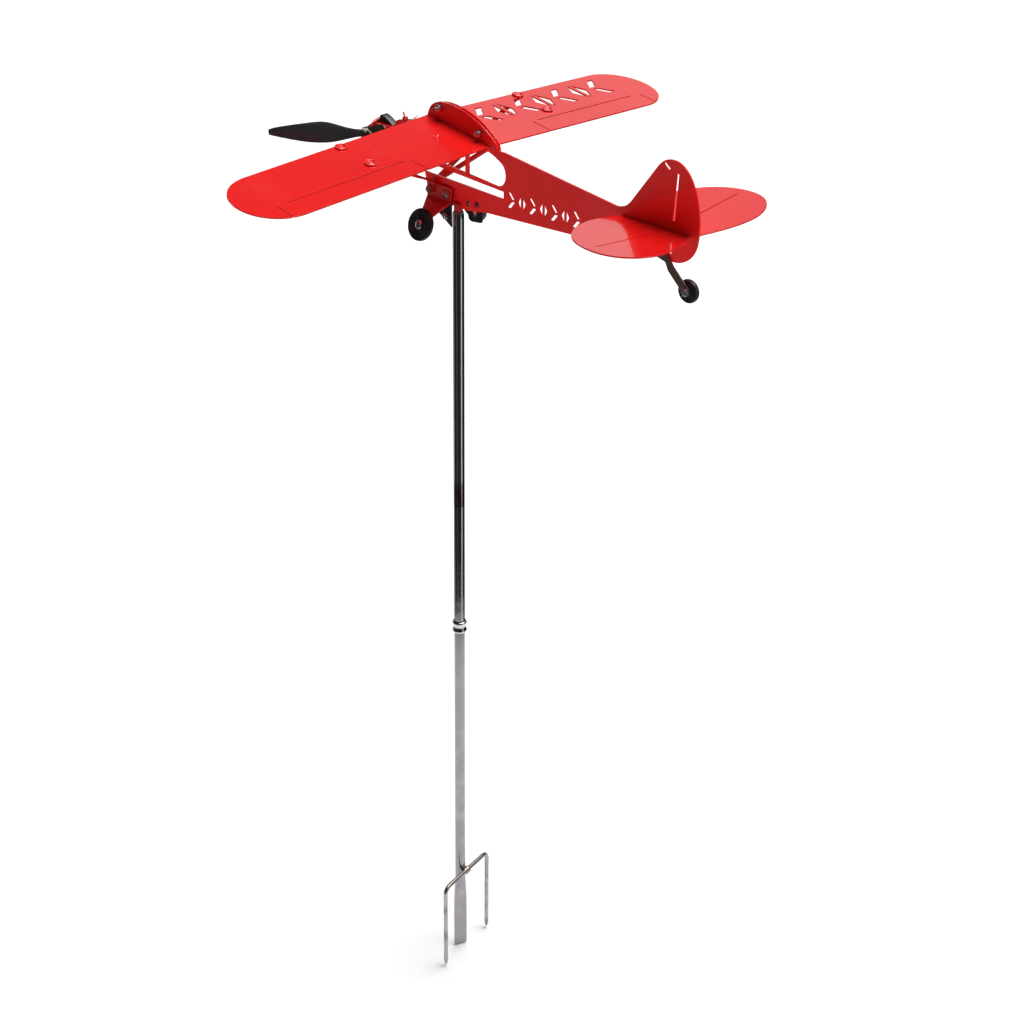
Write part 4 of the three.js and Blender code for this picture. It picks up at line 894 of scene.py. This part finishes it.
cast_alloy = finish("cast_alloy", METAL, 0.05, metallic=0.9, Colour=(0.17, 0.135, 0.11),
                    Stain=(0.05, 0.04, 0.035), Stain_Amount=0.8, Roughness=0.38, Roughness_Spread=0.25)
plug_white = finish("plug_white", MOULDED, 0.006, coat=0.3, Colour=(0.55, 0.53, 0.50),
                    Rubbed=(0.3, 0.28, 0.26), Rubbed_Amount=0.5, Roughness=0.25, Grain=0.2)
for side, word in ((1, "left"), (-1, "right")):
    node = word + "_cylinder"
    low_corner, high_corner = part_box(node)
    face = low_corner.x if side > 0 else high_corner.x
    through = Vector((face, (low_corner.y + high_corner.y) / 2, low_corner.z + FIN_R * MM))
    piece(node + "_finned", lathe(cylinder_profile(0, CYLINDER_LONG), steps=64), cast_alloy, "aeroplane",
          "cast_engine", node, place=axis_frame(through, (side, 0, 0)), crease=30)
    plug_foot = through + Vector((side * PLUG_OUT * MM, 0, PLUG_UP * MM))
    leaning = Matrix.Rotation(side * PLUG_LEAN, 4, "Y")
    piece(word + "_spark_plug", spark_plug(-0.5), plug_white, "aeroplane", "cast_engine",
          place=Matrix.Translation(plug_foot) @ leaning @ Matrix.Scale(MM, 4))

# ---- Propeller ------------------------------------------------------------------------------
# One black plastic moulding: two twisted blades with a thick leading edge, running into a round
# hub. It is clamped on a steel shaft between a washer and a domed hub nut.

PROP_REST = math.radians(13)
HUB_R = 7.6
HUB_HALF = 4.5
HUB_BORE = 2.3
BLADE_ROOT = 4.0
TIP_R = 114.8
BLADE_SECTION = 28
BLADE_STATIONS = 34
KNOT_SPREAD = 0.07


def along_knots(knots, t):
    """A straight run through (place, value) knots."""
    for (t0, v0), (t1, v1) in zip(knots, knots[1:]):
        if t <= t1:
            return v0 + (v1 - v0) * (t - t0) / (t1 - t0)
    return knots[-1][1]


def eased(knots, t):
    """The run through the knots with its corners rounded off."""
    spread = min(KNOT_SPREAD, (1 - t) * 0.5)
    return sum(along_knots(knots, max(0.0, t + spread * k / 3)) for k in range(-3, 4)) / 7


LEADING = ((0, 2.8), (0.12, 2.9), (0.22, 4.0), (0.42, 9.0), (0.50, 9.2), (0.78, 6.0), (0.95, 3.6),
           (1.0, 2.2))
TRAILING = ((0, 2.8), (0.12, 3.0), (0.25, 5.2), (0.42, 8.4), (0.62, 8.2), (0.80, 5.8), (0.95, 3.2),
            (1.0, 2.2))


def blade_section(t):
    """One aerofoil ring across the blade, from its root (0) to its tip (1)."""
    r = BLADE_ROOT + (TIP_R - BLADE_ROOT) * t
    front, rear = eased(LEADING, t), eased(TRAILING, t)
    thickness = 3.6 - 2.5 * t
    pitch = math.radians(38 - 22 * t ** 0.7)
    points = []
    for k in range(BLADE_SECTION):
        a = 2 * math.pi * k / BLADE_SECTION
        u, v = math.cos(a), math.sin(a)
        along = u * (front if u > 0 else rear)
        out = v * (0.5 + 0.2 * u) * thickness * (1.2 if v > 0 else 0.7)
        points.append((r, along * math.cos(pitch) - out * math.sin(pitch),
                       along * math.sin(pitch) + out * math.cos(pitch)))
    return points


def blade(turned):
    bm = loft([blade_section(i / BLADE_STATIONS) for i in range(BLADE_STATIONS + 1)])
    bmesh.ops.rotate(bm, cent=(0, 0, 0), matrix=Matrix.Rotation(turned, 3, "Z"), verts=bm.verts)
    return bm


def hub_profile(half):
    return closed([(HUB_BORE, -half), (5.2, -half), (5.5, 0.5 - half), (6.9, 0.6 - half),
                   (HUB_R, 1.3 - half), (HUB_R, half - 1.3), (6.9, half - 0.6), (5.5, half - 0.5),
                   (5.2, half), (HUB_BORE, half)])


prop_black = finish("prop_black", MOULDED, 0.006, coat=0.15, coat_roughness=0.15,
                    Colour=(0.014, 0.015, 0.017), Rubbed=(0.09, 0.09, 0.095), Rubbed_Amount=0.35,
                    Roughness=0.30, Grain=0.4)
prop_centre = Vector(joint_of["propeller"]["pos_m"])
shaft_axis = Vector(joint_of["propeller"]["axis"])
prop_place = axis_frame(prop_centre, -shaft_axis)
piece("propeller_hub", lathe(hub_profile(HUB_HALF)), prop_black, "propeller", "black_plastic", "propeller",
      place=prop_place)
for word, turned in (("left", PROP_REST), ("right", PROP_REST + math.pi)):
    piece(f"propeller_{word}_blade", blade(turned), prop_black, "propeller", "black_plastic",
          "propeller", place=prop_place, crease=60)


def shaft_profile(low, high):
    return [(0, low), (1.6, low), (2.0, low + 0.4), (2.0, high - 3.4), (3.6, high - 3.2),
            (3.6, high - 0.3), (3.3, high), (0, high)]


def washer_profile(low, high):
    return closed([(HUB_BORE, low), (5.2, low), (5.4, low + 0.2), (5.4, high - 0.2), (5.2, high),
                   (HUB_BORE, high)])


def hub_nut_profile(low, high):
    return closed([(2.4, high), (5.4, high), (5.6, high - 0.2), (5.6, high - 0.9), (4.4, high - 1.2),
                   (4.2, high - 4.6), (3.9, high - 5.6), (3.2, high - 7.2), (2.5, low + 0.2),
                   (2.4, low + 0.3)])


shaft_place = axis_frame(prop_centre, shaft_axis)
for node, profile, steps, crease in (("prop_shaft", shaft_profile, TUBE_STEPS, 32),
                                     ("prop_washer", washer_profile, TUBE_STEPS, 32),
                                     ("hub_nut", hub_nut_profile, 6, 20)):
    bm = lathe(profile(*reach(node, prop_centre, shaft_axis)), steps)
    piece(node + "_turned", bm, zinc, "propeller", "zinc_hardware", node, place=shaft_place, crease=crease)

# ---- Floor, light and camera ----------------------------------------------------------------
# A plain white floor and soft studio light. The surround is dark, with a broad white card low behind
# the wings and three upright ones round the pole, so that gloss paint and chrome show their shape.

FLOOR_Z = -0.2
FLOOR_HALF = 12
TABLE_R = 0.60
WHITE = (0.93, 0.93, 0.93, 1)
LENS = 73.9
CAMERA_AT = (1.1292, 1.1462, 1.3307)
CAMERA_AZIMUTH = math.radians(133.8)
CAMERA_PITCH = math.radians(28.0)
CAMERA_ROLL = math.radians(0.6)

floor_paint = bpy.data.materials.new("floor_paint")
floor_paint.use_nodes = True
floor_shader = floor_paint.node_tree.nodes["Principled BSDF"]
floor_shader.inputs["Base Color"].default_value = WHITE
floor_shader.inputs["Roughness"].default_value = 1.0


def stage_piece(name, bm, height):
    bmesh.ops.translate(bm, vec=(0, 0, height * MM), verts=bm.verts)
    mesh = bpy.data.meshes.new(name)
    bm.to_mesh(mesh)
    bm.free()
    mesh.materials.append(floor_paint)
    made = bpy.data.objects.new(name, mesh)
    bpy.context.scene.collection.objects.link(made)
    return made


bm = bmesh.new()
bmesh.ops.create_grid(bm, x_segments=1, y_segments=1, size=FLOOR_HALF)
floor = stage_piece("floor", bm, FLOOR_Z - 0.2)
floor.visible_glossy = False
bm = bmesh.new()
bmesh.ops.create_circle(bm, cap_ends=True, segments=96, radius=TABLE_R)
stage_piece("floor_round", bm, FLOOR_Z)


def soft_card(name, at, width, height, brightness):
    """An upright white card that faces the pole. Its brightness is what it shows in a mirror."""
    data = bpy.data.lights.new(name, "AREA")
    data.shape = "RECTANGLE"
    data.size, data.size_y = width, height
    data.energy = brightness * math.pi * width * height
    card = bpy.data.objects.new(name, data)
    bpy.context.scene.collection.objects.link(card)
    card.location = at
    card.rotation_euler = Vector((-at[0], -at[1], 0)).to_track_quat("-Z", "Y").to_euler()


sun_data = bpy.data.lights.new("soft_sun", "SUN")
sun_data.energy = 4.0
sun_data.angle = math.radians(52)
sun = bpy.data.objects.new("soft_sun", sun_data)
bpy.context.scene.collection.objects.link(sun)
sun.rotation_euler = Vector((0.28, -0.12, -0.95)).to_track_quat("-Z", "Y").to_euler()

soft_card("back_card", (-2.2, -2.05, 1.57), 5.0, 2.14, 0.42)
soft_card("middle_strip", (1.5, 0.15, -0.3), 0.25, 2.9, 0.12)
soft_card("right_strip", (-0.32, 1.465, -0.3), 0.7, 2.9, 0.6)
soft_card("left_strip", (0.42, -1.54, -0.3), 0.6, 2.9, 0.5)

world = bpy.data.worlds.new("dim_surround")
bpy.context.scene.world = world
world.use_nodes = True
surround = world.node_tree.nodes["Background"]
surround.inputs["Color"].default_value = (1, 1, 1, 1)
surround.inputs["Strength"].default_value = 0.02
bpy.context.scene.view_settings.view_transform = "Standard"

camera_data = bpy.data.cameras.new("camera")
camera_data.lens = LENS
camera_data.sensor_width = 36
camera_data.clip_end = 50
camera = bpy.data.objects.new("camera", camera_data)
bpy.context.scene.collection.objects.link(camera)
back = Vector((math.sin(CAMERA_AZIMUTH) * math.cos(CAMERA_PITCH),
               -math.cos(CAMERA_AZIMUTH) * math.cos(CAMERA_PITCH), math.sin(CAMERA_PITCH)))
level = Vector((math.cos(CAMERA_AZIMUTH), math.sin(CAMERA_AZIMUTH), 0))
upward = back.cross(level)
right = math.cos(CAMERA_ROLL) * level + math.sin(CAMERA_ROLL) * upward
up = -math.sin(CAMERA_ROLL) * level + math.cos(CAMERA_ROLL) * upward
aim = Matrix((right, up, back)).transposed().to_4x4()
aim.translation = CAMERA_AT
camera.matrix_world = aim
bpy.context.scene.camera = camera
